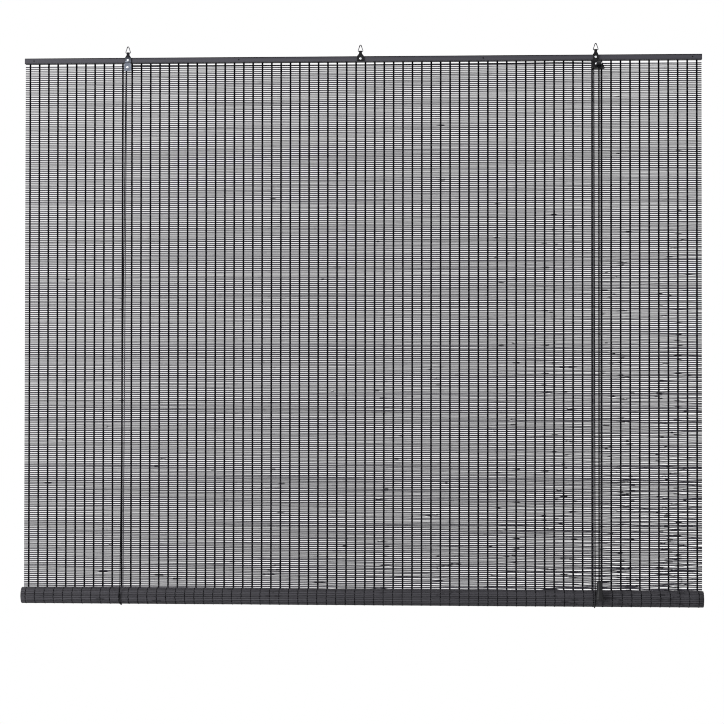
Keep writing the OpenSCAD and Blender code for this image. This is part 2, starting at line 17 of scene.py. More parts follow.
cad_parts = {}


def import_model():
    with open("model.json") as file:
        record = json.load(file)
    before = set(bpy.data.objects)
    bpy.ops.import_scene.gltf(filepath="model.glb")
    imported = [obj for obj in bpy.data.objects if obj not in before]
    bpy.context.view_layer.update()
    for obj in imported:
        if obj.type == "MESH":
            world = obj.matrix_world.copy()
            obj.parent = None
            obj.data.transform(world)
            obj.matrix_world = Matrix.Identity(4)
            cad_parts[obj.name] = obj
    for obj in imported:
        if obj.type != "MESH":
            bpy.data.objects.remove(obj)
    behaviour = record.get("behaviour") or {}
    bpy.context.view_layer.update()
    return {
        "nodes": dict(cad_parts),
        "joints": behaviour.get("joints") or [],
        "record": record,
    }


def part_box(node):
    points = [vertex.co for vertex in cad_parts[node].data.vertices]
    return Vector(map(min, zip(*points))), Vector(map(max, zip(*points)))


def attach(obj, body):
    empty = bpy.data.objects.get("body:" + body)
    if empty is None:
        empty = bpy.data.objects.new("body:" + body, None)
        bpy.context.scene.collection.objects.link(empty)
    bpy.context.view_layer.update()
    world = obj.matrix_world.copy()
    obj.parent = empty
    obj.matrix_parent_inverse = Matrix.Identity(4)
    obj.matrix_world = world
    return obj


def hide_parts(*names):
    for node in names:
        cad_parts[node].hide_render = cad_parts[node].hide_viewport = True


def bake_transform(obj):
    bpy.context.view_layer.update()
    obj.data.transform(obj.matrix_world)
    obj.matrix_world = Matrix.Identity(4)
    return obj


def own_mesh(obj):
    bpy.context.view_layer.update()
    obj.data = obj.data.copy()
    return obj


LOG = logging.getLogger("blind")
MM = 0.001
FULL_TURN = 2 * math.pi
SMOOTH_ANGLE = math.radians(40)
FLAT_ANGLE = math.radians(2)
ARC_POINTS = 13
KNOT_STEPS = 16
WHITE = (1, 1, 1, 1)

Point = tuple[float, float, float]
Colour = tuple[float, float, float, float]


class Body(str, Enum):
    """Bodies of the blind that pieces ride on."""

    HEADRAIL = "headrail"
    SLING = "cord_sling"
    ROLL = "roll"
    TASSEL = "tassel"
    LOCK_CAM = "lock_cam"
    LEFT_PULLEY = "left_pulley"
    RIGHT_BACK_PULLEY = "right_back_pulley"
    RIGHT_FRONT_PULLEY = "right_front_pulley"
    LEFT_RING = "left_ring"
    CENTRE_RING = "centre_ring"
    RIGHT_RING = "right_ring"


class Slot(str, Enum):
    """Material slots of the record."""

    RAIL = "rail_wood"
    SLAT = "slat_bamboo"
    ROLL = "roll_bamboo"
    WARP = "warp_yarn"
    POLE = "pole_wood"
    ZINC = "zinc_steel"
    BLACK = "black_steel"
    BRIGHT = "bright_steel"
    PULLEY = "pulley_plastic"
    CORD = "cord_braid"
    TASSEL = "tassel_plastic"


class Bench:
    """Modelling bench: starts, shapes and finishes one mesh at a time."""

    @staticmethod
    def pick(piece: Object | None = None) -> None:
        """Leaves nothing selected, or one piece selected and active.

        Args:
            piece: The piece, if any.
        """
        bpy.ops.object.select_all(action="DESELECT")
        if piece:
            piece.select_set(True)
            bpy.context.view_layer.objects.active = piece

    @staticmethod
    def settle(name: str) -> Object:
        """Names the new primitive and moves its place into its mesh.

        Args:
            name: Name of the piece.

        Returns:
            The piece, at the origin, unturned and unscaled.
        """
        piece = bpy.context.active_object
        piece.name = piece.data.name = name
        bpy.ops.object.transform_apply(location=True, rotation=True, scale=True)
        return piece

    @staticmethod
    def link(name: str, data: bpy.types.ID) -> Object:
        """Puts a mesh, lamp or camera into the scene as an object.

        Args:
            name: Name of the object.
            data: What it shows.

        Returns:
            The object.
        """
        added = bpy.data.objects.new(name, data)
        bpy.context.scene.collection.objects.link(added)
        return added

    @staticmethod
    def open() -> None:
        """Opens edit mode on the active piece, with all of it selected."""
        bpy.ops.object.mode_set(mode="EDIT")
        bpy.ops.mesh.select_all(action="SELECT")

    @staticmethod
    def close() -> None:
        """Leaves edit mode."""
        bpy.ops.object.mode_set(mode="OBJECT")

    @staticmethod
    def smooth(piece: Object) -> None:
        """Shades a piece smooth over its flatter edges."""
        Bench.pick(piece)
        bpy.ops.object.shade_smooth_by_angle(angle=SMOOTH_ANGLE)

    @staticmethod
    def clean(piece: Object, distance: float = 1e-6) -> None:
        """Merges doubles and turns all faces outwards.

        Args:
            piece: The piece.
            distance: Merging distance, in metres.
        """
        Bench.pick(piece)
        Bench.open()
        bpy.ops.mesh.remove_doubles(threshold=distance)
        bpy.ops.mesh.normals_make_consistent(inside=False)
        Bench.close()

    @staticmethod
    def from_arrays(name: str, points: np.ndarray, faces: np.ndarray) -> Object:
        """Makes a piece from many copies of a modelled shape.

        Args:
            name: Name of the piece.
            points: Vertices, in metres.
            faces: Quads, as rows of four vertex numbers.

        Returns:
            The piece, shaded smooth.
        """
        mesh = bpy.data.meshes.new(name)
        mesh.vertices.add(len(points))
        mesh.vertices.foreach_set("co", points.astype(np.float32).ravel())
        mesh.loops.add(faces.size)
        mesh.loops.foreach_set("vertex_index", faces.astype(np.int32).ravel())
        mesh.polygons.add(len(faces))
        mesh.polygons.foreach_set("loop_start", np.arange(0, faces.size, 4, dtype=np.int32))
        mesh.polygons.foreach_set("use_smooth", np.ones(len(faces), dtype=bool))
        mesh.update(calc_edges=True)
        mesh.validate()
        return Bench.link(name, mesh)

    @staticmethod
    def attribute(piece: Object, name: str, values: np.ndarray) -> None:
        """Stores one number for each vertex of a piece, under a name."""
        layer = piece.data.attributes.new(name, "FLOAT", "POINT")
        layer.data.foreach_set("value", values.astype(np.float32))


class NodeBench:
    """Places and joins the nodes of one node tree."""

    def __init__(self, tree: NodeTree) -> None:
        """Starts on a tree."""
        self.tree = tree

    def feed(self, node: Node, key: str | int, value: object) -> None:
        """Sets one input of a node, or joins a socket to it.

        Args:
            node: The node.
            key: Name or number of the input.
            value: A value or an output socket.
        """
        if isinstance(value, NodeSocket):
            self.tree.links.new(value, node.inputs[key])
        else:
            node.inputs[key].default_value = value

    def set(self, node: Node, **inputs: object) -> None:
        """Feeds several inputs of a node, named with underscores for spaces."""
        for key, value in inputs.items():
            self.feed(node, key.replace("_", " "), value)

    def add(self, kind: str, **inputs: object) -> Node:
        """Adds a shader node and feeds it.

        Args:
            kind: Blender's name of the node's type, after ShaderNode.
            **inputs: Values or sockets, by input name.

        Returns:
            The node.
        """
        node = self.tree.nodes.new(f"ShaderNode{kind}")
        self.set(node, **inputs)
        return node

    def math(self, operation: str, *values: object) -> NodeSocket:
        """Adds a Math node.

        Args:
            operation: Its operation.
            *values: Values or sockets, in the order of its inputs.

        Returns:
            The result.
        """
        node = self.add("Math")
        node.operation = operation
        for number, value in enumerate(values):
            self.feed(node, number, value)
        return node.outputs[0]

    def remap(
        self, value: object, low: float, high: float, start: float = 0.0, end: float = 1.0
    ) -> NodeSocket:
        """Maps a value from one range onto another, and keeps to it.

        Args:
            value: Value or socket.
            low: Result at the start.
            high: Result at the end.
            start: First value.
            end: Last value.

        Returns:
            The mapped value.
        """
        node = self.add(
            "MapRange", Value=value, From_Min=start, From_Max=end, To_Min=low, To_Max=high
        )
        return node.outputs["Result"]

    def mix(self, share: object, a: object, b: object) -> NodeSocket:
        """Mixes two colours.

        Args:
            share: Share of the second colour.
            a: First colour or socket.
            b: Second colour or socket.

        Returns:
            The mixed colour.
        """
        node = self.add("Mix")
        node.data_type = "RGBA"
        for number, value in ((0, share), (6, a), (7, b)):
            self.feed(node, number, value)
        return node.outputs[2]

    def scaled(self, colour: NodeSocket, factor: NodeSocket) -> NodeSocket:
        """Multiplies a colour by a value.

        Args:
            colour: The colour.
            factor: The value.

        Returns:
            The scaled colour.
        """
        node = self.add("VectorMath")
        node.operation = "SCALE"
        self.feed(node, 0, colour)
        self.feed(node, "Scale", factor)
        return node.outputs[0]

    def attribute(self, name: str) -> NodeSocket:
        """Reads a number that is stored on the piece.

        Args:
            name: Name of the attribute.

        Returns:
            The number at each place.
        """
        node = self.add("Attribute")
        node.attribute_name = name
        return node.outputs["Fac"]

    def place(self) -> NodeSocket:
        """Place on the piece, in Object coordinates."""
        return self.add("TexCoord").outputs["Object"]

    def level(self) -> NodeSocket:
        """Height of a place on the piece."""
        return self.add("SeparateXYZ", Vector=self.place()).outputs["Z"]

    def noise(self, cells: Point, detail: float, rough: float) -> NodeSocket:
        """Adds noise, stretched along the axes.

        Args:
            cells: Cells for each metre along x, y and z.
            detail: Octaves of detail.
            rough: Weight of the finer octaves.

        Returns:
            The noise value.
        """
        moved = self.add("Mapping", Vector=self.place(), Scale=cells).outputs["Vector"]
        noise = self.add("TexNoise", Vector=moved, Scale=1.0, Detail=detail, Roughness=rough)
        return noise.outputs["Fac"]

    def group(self, tree: NodeTree, **inputs: float) -> Node:
        """Places a shared effect.

        Args:
            tree: The node group.
            **inputs: Its values here.

        Returns:
            The group's node.
        """
        node = self.add("Group")
        node.node_tree = tree
        self.set(node, **inputs)
        return node

    def bump(self, shader: Node, height: NodeSocket, strength: float, depth: float) -> None:
        """Raises a shader's surface by a height from nought to one."""
        bump = self.add("Bump", Strength=strength, Distance=depth, Height=height)
        self.set(shader, Normal=bump.outputs["Normal"])


class NodeGroups:
    """Effects that several finishes share, each built once as a node group."""

    wear_from = 0.45
    wear_edge = 6.0

    @staticmethod
    def start(
        name: str, inputs: dict[str, float], outputs: Sequence[str]
    ) -> tuple[NodeBench, Node, Node]:
        """Starts a group with named float sockets.

        Args:
            name: Name of the group.
            inputs: Default value of each input.
            outputs: Names of the outputs.

        Returns:
            A bench on the group's tree, its input node and its output node.
        """
        tree = bpy.data.node_groups.new(name, "ShaderNodeTree")
        for key, value in inputs.items():
            socket = tree.interface.new_socket(key, in_out="INPUT", socket_type="NodeSocketFloat")
            socket.default_value = value
        for key in outputs:
            tree.interface.new_socket(key, in_out="OUTPUT", socket_type="NodeSocketFloat")
        ends = [tree.nodes.new(kind) for kind in ("NodeGroupInput", "NodeGroupOutput")]
        return NodeBench(tree), *ends

    @staticmethod
    @cache
    def fibre_grain() -> NodeTree:
        """Grain of split bamboo and wood, running along x.

        Returns:
            A group with outputs Grain and Streak.
        """
        bench, given, result = NodeGroups.start(
            "fibre_grain", {"Contrast": 1.0}, ("Grain", "Streak")
        )
        fine = bench.noise(cells=(14, 2600, 2600), detail=4, rough=0.6)
        broad = bench.noise(cells=(2.5, 420, 420), detail=3, rough=0.55)
        centred = bench.math("SUBTRACT", fine, 0.5)
        grain = bench.math("MULTIPLY_ADD", centred, given.outputs["Contrast"], 0.5)
        bench.set(result, Grain=grain, Streak=broad)
        return bench.tree

    @staticmethod
    @cache
    def scuffs() -> NodeTree:
        """Patches of wear and dust on hard surfaces.

        Returns:
            A group with outputs Mask and Speckle.
        """
        bench, given, result = NodeGroups.start("scuffs", {"Amount": 0.3}, ("Mask", "Speckle"))
        cloud = bench.noise(cells=(160, 160, 160), detail=5, rough=0.65)
        speck = bench.noise(cells=(1400, 1400, 1400), detail=2, rough=0.5)
        raised = bench.math("SUBTRACT", cloud, NodeGroups.wear_from)
        sharp = bench.math("MULTIPLY", raised, NodeGroups.wear_edge)
        mask = bench.math("MULTIPLY", sharp, given.outputs["Amount"])
        mask.node.use_clamp = True
        bench.set(result, Mask=mask, Speckle=speck)
        return bench.tree

    @staticmethod
    @cache
    def braid() -> NodeTree:
        """Crossed strands of a braided cord, on the cord's own UV map, with painted shade at the
        strands' edges.

        Returns:
            A group with outputs Height and Shade.
        """
        bench, given, result = NodeGroups.start(
            "braid", {"Strands": 6.0, "Pitch": 900.0}, ("Height", "Shade")
        )
        place = bench.add("UVMap")
        place.uv_map = CordTube.uv_name
        parts = bench.add("SeparateXYZ", Vector=place.outputs["UV"])
        around = bench.math("MULTIPLY", parts.outputs["X"], given.outputs["Strands"])
        along = bench.math("MULTIPLY", parts.outputs["Y"], given.outputs["Pitch"])
        waves = []
        for way in ("ADD", "SUBTRACT"):
            turned = bench.math("MULTIPLY", bench.math(way, along, around), FULL_TURN)
            waves.append(bench.math("SINE", turned))
        height = bench.math("MULTIPLY", *waves)
        # Shade is painted shade: each strand is lighter in its middle and darker at its edges, where
        # it dips under its neighbours.
        bench.set(
            result,
            Height=bench.remap(height, low=0.5, high=1.0),
            Shade=bench.remap(bench.math("ABSOLUTE", height), low=0.55, high=1.0),
        )
        return bench.tree


@dataclass(frozen=True)
class Finish:
    """A finish with a base colour that varies between two tints, built as a node material."""

    name: str
    colour: Colour
    roughness: float = 0.5
    rough_spread: tuple[float, float] = (-0.1, 0.1)
    tints: tuple[float, float] = (1.0, 1.0)
    gloss: float = 0.2

    def start(self) -> tuple[Material, NodeBench, Node]:
        """Starts the material.

        Returns:
            The material, a bench on its tree and its Principled BSDF.
        """
        material = bpy.data.materials.new(self.name)
        material.use_nodes = True
        bench = NodeBench(material.node_tree)
        return material, bench, material.node_tree.nodes["Principled BSDF"]

    def tint(self, factor: float) -> Colour:
        """A lighter or darker shade of the colour."""
        red, green, blue, alpha = self.colour
        return (red * factor, green * factor, blue * factor, alpha)

    def mottled(self, bench: NodeBench, share: NodeSocket) -> NodeSocket:
        """Colour that goes from the first tint to the second."""
        return bench.mix(share, *(self.tint(factor) for factor in self.tints))

    def rough(self, bench: NodeBench, share: NodeSocket) -> NodeSocket:
        """Roughness that changes over its spread."""
        return bench.remap(share, *(self.roughness + change for change in self.rough_spread))


@dataclass(frozen=True)
class StainedFibre(Finish):
    """Stained bamboo or wood with grain along x, shaded by each piece's own attributes, with painted
    shade along its top and bottom edges where an edge height is given.
    """

    rough_spread: tuple[float, float] = (0.1, -0.1)
    tints: tuple[float, float] = (0.62, 1.38)
    contrast: float = 0.9
    streaks: tuple[float, float] = (0.7, 1.3)
    uses_marks: bool = True
    dark_marks: float = 0.85
    mark_tint: float = 0.12
    shaded_edge_z: float | None = None
    upper_shade_band: float = 0.9 * MM
    lower_shade_band: float = 1.4 * MM
    edge_shade_tints: tuple[float, float] = (0.1, 0.5)

    def material(self) -> Material:
        """Builds the material.

        Returns:
            The material.
        """
        material, bench, shader = self.start()
        group = bench.group(NodeGroups.fibre_grain(), Contrast=self.contrast)
        grain = group.outputs["Grain"]
        streak = bench.remap(group.outputs["Streak"], *self.streaks)
        body = bench.scaled(self.mottled(bench, grain), streak)
        gloss = self.gloss
        if self.uses_marks:
            body = bench.scaled(body, bench.attribute("shade"))
            dark = bench.math("MULTIPLY", bench.attribute("mark"), self.dark_marks)
            body = bench.mix(dark, body, self.tint(self.mark_tint))
            gloss = bench.remap(dark, self.gloss, 0.0)
        # Painted shade: the band along the top edge is painted near black and loses its gloss, and
        # the band along the lower edge is painted darker. Both stand in for shade on the edges.
        if self.shaded_edge_z is not None:
            level, edge = bench.level(), self.shaded_edge_z
            upper = bench.remap(level, 0, 1, edge, edge + self.upper_shade_band)
            lower = bench.remap(level, 0, 1, -edge, -edge - self.lower_shade_band)
            for share, factor in zip((upper, lower), self.edge_shade_tints):
                body = bench.mix(share, body, self.tint(factor))
            gloss = bench.remap(upper, self.gloss, 0.0)
        rough = self.rough(bench, grain)
        bench.set(shader, Base_Color=body, Specular_IOR_Level=gloss, Roughness=rough)
        bench.bump(shader, grain, strength=0.35, depth=0.2 * MM)
        return material


@dataclass(frozen=True)
class TwistedYarn(Finish):
    """Rough black yarn with a twist."""

    tints: tuple[float, float] = (0.5, 1.7)
    gloss: float = 0.05

    def material(self) -> Material:
        """Builds the material.

        Returns:
            The material.
        """
        material, bench, shader = self.start()
        fuzz = bench.noise(cells=(2400, 2400, 900), detail=3, rough=0.6)
        base = self.mottled(bench, fuzz)
        bench.set(shader, Base_Color=base, Roughness=self.roughness, Specular_IOR_Level=self.gloss)
        bench.bump(shader, fuzz, strength=0.5, depth=0.2 * MM)
        return material


@dataclass(frozen=True)
class BraidedCord(Finish):
    """Braided cord, its strands on the cord's UV map, with painted shade at each strand's edges."""

    tints: tuple[float, float] = (0.45, 1.5)
    gloss: float = 0.06
    strands: float = 4.0
    pitch: float = 420.0

    def material(self) -> Material:
        """Builds the material.

        Returns:
            The material.
        """
        material, bench, shader = self.start()
        braid = bench.group(NodeGroups.braid(), Strands=self.strands, Pitch=self.pitch)
        # The base colour follows the braid's painted shade, darker at the strands' edges.
        base = self.mottled(bench, braid.outputs["Shade"])
        bench.set(shader, Base_Color=base, Roughness=self.roughness, Specular_IOR_Level=self.gloss)
        bench.bump(shader, braid.outputs["Height"], strength=0.6, depth=0.4 * MM)
        return material


@dataclass(frozen=True)
class CoatedMetal(Finish):
    """Sheet steel, painted or plated, worn in patches down to a brighter tone."""

    rough_spread: tuple[float, float] = (-0.06, 0.1)
    tints: tuple[float, float] = (0.85, 1.15)
    gloss: float = 0.5
    metallic: float = 0.0
    worn: Colour = (0.25, 0.25, 0.26, 1)
    wear: float = 0.3
    # The top of the piece is darkened towards the dark colour between the two heights. On the ring
    # wire this is painted shade at the apex; on the plated steel it is only darker towards the top.
    dark_from: float | None = None
    dark_to: float = 0.0
    dark: Colour = (0.006, 0.006, 0.008, 1)

    def material(self) -> Material:
        """Builds the material.

        Returns:
            The material.
        """
        material, bench, shader = self.start()
        scuffs = bench.group(NodeGroups.scuffs(), Amount=self.wear)
        speckle = scuffs.outputs["Speckle"]
        base = bench.mix(scuffs.outputs["Mask"], self.mottled(bench, speckle), self.worn)
        # Darkens the top: painted shade on the ring wire's apex, plain darkening towards the top on
        # the plated steel.
        if self.dark_from is not None:
            upper = bench.remap(bench.level(), 0, 1, self.dark_from, self.dark_to)
            base = bench.mix(upper, base, self.dark)
        bench.set(
            shader, Base_Color=base, Roughness=self.rough(bench, speckle),
            Metallic=self.metallic, Specular_IOR_Level=self.gloss,
        )
        bench.bump(shader, speckle, strength=0.12, depth=0.1 * MM)
        return material


@dataclass(frozen=True)
class MouldedPlastic(Finish):
    """Moulded plastic with a faint mould texture, worn in patches to its second tint."""

    tints: tuple[float, float] = (1.0, 1.8)
    wear: float = 0.2

    def material(self) -> Material:
        """Builds the material.

        Returns:
            The material.
        """
        material, bench, shader = self.start()
        scuffs = bench.group(NodeGroups.scuffs(), Amount=self.wear)
        speckle = scuffs.outputs["Speckle"]
        base, rough = self.mottled(bench, scuffs.outputs["Mask"]), self.rough(bench, speckle)
        bench.set(shader, Base_Color=base, Roughness=rough, Specular_IOR_Level=self.gloss)
        bench.bump(shader, speckle, strength=0.1, depth=0.1 * MM)
        return material


@dataclass
class Finishes:
    """All finishes of the blind, each made into a material once."""

    made: dict[Slot, Material] = field(default_factory=dict)
    apex_shaded_ring_wire: Material | None = None

    def build(self) -> None:
        """Makes every material."""
        recipes = {
            Slot.RAIL: StainedFibre(
                "stained rail", (0.088, 0.086, 0.102, 1), 0.6, uses_marks=False, contrast=0.6,
                # painted shade along the rail's top and bottom edges
                shaded_edge_z=4.8 * MM,
            ),
            Slot.SLAT: StainedFibre("stained slats", (0.0735, 0.0705, 0.0855, 1), 0.6),
            Slot.ROLL: StainedFibre("stained roll", (0.072, 0.070, 0.080, 1), 0.6),
            Slot.WARP: TwistedYarn("black warp yarn", (0.003, 0.003, 0.004, 1), 0.95),
            Slot.POLE: StainedFibre("plain pole", (0.30, 0.22, 0.14, 1), 0.6, uses_marks=False),
            Slot.ZINC: CoatedMetal(
                "plated steel", (0.10, 0.112, 0.14, 1), 0.36, metallic=0.85,
                # darker towards the top of each piece, from 12 mm below to 10 mm above the origin
                worn=(0.3, 0.32, 0.36, 1), dark_from=-12 * MM, dark_to=10 * MM,
            ),
            Slot.BLACK: CoatedMetal(
                "black steel", (0.006, 0.006, 0.007, 1), 0.45, wear=0.06, gloss=0.15
            ),
            Slot.BRIGHT: CoatedMetal(
                "bright steel", (0.78, 0.79, 0.81, 1), 0.16, metallic=1.0, wear=0.1
            ),
            Slot.PULLEY: MouldedPlastic("pulley plastic", (0.03, 0.03, 0.033, 1), 0.45),
            Slot.CORD: BraidedCord("braided cord", (0.006, 0.006, 0.007, 1), 0.75),
            Slot.TASSEL: MouldedPlastic("tassel plastic", (0.018, 0.018, 0.02, 1), 0.4),
        }
        self.made = {slot: recipe.material() for slot, recipe in recipes.items()}
        # The ring wire's apex is painted dark: painted shade standing in for the dark reflection
        # where the wire bends.
        self.apex_shaded_ring_wire = CoatedMetal(
            "ring wire", (0.1, 0.1, 0.11, 1), 0.22, metallic=1.0, wear=0.1, dark_from=30 * MM,
            dark_to=31.5 * MM,
        ).material()

    def fit(
        self, piece: Object, slot: Slot, body: Body | None, *nodes: str,
        material: Material | None = None,
    ) -> Object:
        """Gives a new piece the material of its slot, or its own, and its body, and hides the nodes
        that it stands for.

        Args:
            piece: The piece.
            slot: Its material slot.
            body: Its body, or none where it bends between two.
            *nodes: The nodes that it replaces.
            material: A finish of its own, where it differs from the slot's.

        Returns:
            The piece.
        """
        piece.data.materials.clear()
        piece.data.materials.append(material or self.made[slot])
        if body:
            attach(piece, body.value)
        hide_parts(*nodes)
        LOG.info("%s: %d faces", piece.name, len(piece.data.polygons))
        return piece

    def repaint(self, node: Object, slot: Slot) -> None:
        """Gives a carried-over node the finish of its slot."""
        for place in node.material_slots:
            place.material = self.made[slot]


@dataclass
class PhotoCamera:
    """Camera at the photograph's viewing angle, a little right of the middle and turned left."""

    place: Point = (0.2423, -5.0, -0.8687)
    yaw_deg: float = -2.73
    pitch_deg: float = 0.734
    roll_deg: float = 0.071
    focal_px: float = 1882.6
    blur_px: float = 1.05
    frame_px: float = 724.0
    sensor_mm: float = 36.0
    reach: float = 100.0

    def build(self) -> None:
        """Makes the camera and gives it to the scene."""
        data = bpy.data.cameras.new("photo_camera")
        data.sensor_width = self.sensor_mm
        data.lens = self.focal_px / self.frame_px * self.sensor_mm
        data.clip_end = self.reach
        camera = Bench.link("photo_camera", data)
        camera.location = self.place
        turn = Matrix.Rotation(-math.radians(self.yaw_deg), 3, "Z")
        tilt = Matrix.Rotation(math.radians(90 + self.pitch_deg), 3, "X")
        roll = Matrix.Rotation(math.radians(self.roll_deg), 3, "Z")
        camera.rotation_euler = (turn @ tilt @ roll).to_euler()
        bpy.context.scene.camera = camera
        bpy.context.scene.cycles.filter_width = self.blur_px


@dataclass
class Studio:
    """White surround, soft lamps and a pale floor below the longest reach of the pull cords."""

    ambient: float = 0.45
    floor_z: float = -4.3
    floor_size: float = 26.0
    floor_glow: float = 0.65
    floor_lit: Colour = (0.05, 0.05, 0.05, 1)
    floor_seen: Colour = (0.9, 0.9, 0.9, 1)
    floor_rough: float = 0.9

    def build(self) -> None:
        """Makes the world, the lamps and the floor."""
        bpy.context.scene.view_settings.view_transform = "Standard"
        self.world()
        self.lamp("key", place=(-3.0, -3.4, 0.4), aim=(-0.2, 0, -0.6), size=2.2, power=130)
        self.lamp("fill", place=(3.6, -4.4, -0.4), aim=(0.2, 0, -0.8), size=3.0, power=8)
        self.lamp("rim", place=(0.4, 3.4, 2.2), aim=(0, 0, -0.5), size=2.5, power=40)
        self.floor()

    @staticmethod
    def seen_directly(bench: NodeBench) -> NodeSocket:
        """Tells rays that show the background from those that only light.

        Args:
            bench: Bench on the tree that asks.

        Returns:
            One for camera, glossy and transmission rays, else nought.
        """
        rays = bench.add("LightPath").outputs
        share = bench.math("MAXIMUM", rays["Is Camera Ray"], rays["Is Glossy Ray"])
        return bench.math("MAXIMUM", share, rays["Is Transmission Ray"])

    def world(self) -> None:
        """White background that lights the blind at a plain level."""
        world = bpy.data.worlds.new("studio")
        bpy.context.scene.world = world
        world.use_nodes = True
        bench = NodeBench(world.node_tree)
        strength = bench.remap(self.seen_directly(bench), self.ambient, 1.0)
        bench.set(world.node_tree.nodes["Background"], Color=WHITE, Strength=strength)

    def lamp(self, name: str, place: Point, aim: Point, size: float, power: float) -> None:
        """Hangs one soft square lamp.

        Args:
            name: Name of the lamp.
            place: Where it hangs.
            aim: The point that it faces.
            size: Its width.
            power: Its power, in watts.
        """
        data = bpy.data.lights.new(name, "AREA")
        data.shape = "SQUARE"
        data.size = size
        data.energy = power
        lamp = Bench.link(name, data)
        lamp.location = place
        way = Vector(aim) - Vector(place)
        lamp.rotation_euler = way.to_track_quat("-Z", "Y").to_euler()

    def floor(self) -> None:
        """Pale floor, far below the blind."""
        Bench.pick()
        bpy.ops.mesh.primitive_plane_add(size=self.floor_size, location=(0, 0, self.floor_z))
        floor = Bench.settle("studio_floor")
        material, bench, shader = Finish("studio floor", self.floor_seen).start()
        seen = self.seen_directly(bench)
        bench.set(
            shader,
            Base_Color=bench.mix(seen, self.floor_lit, self.floor_seen),
            Roughness=self.floor_rough,
            Emission_Color=WHITE,
            Emission_Strength=bench.math("MULTIPLY", seen, self.floor_glow),
        )
        floor.data.materials.append(material)


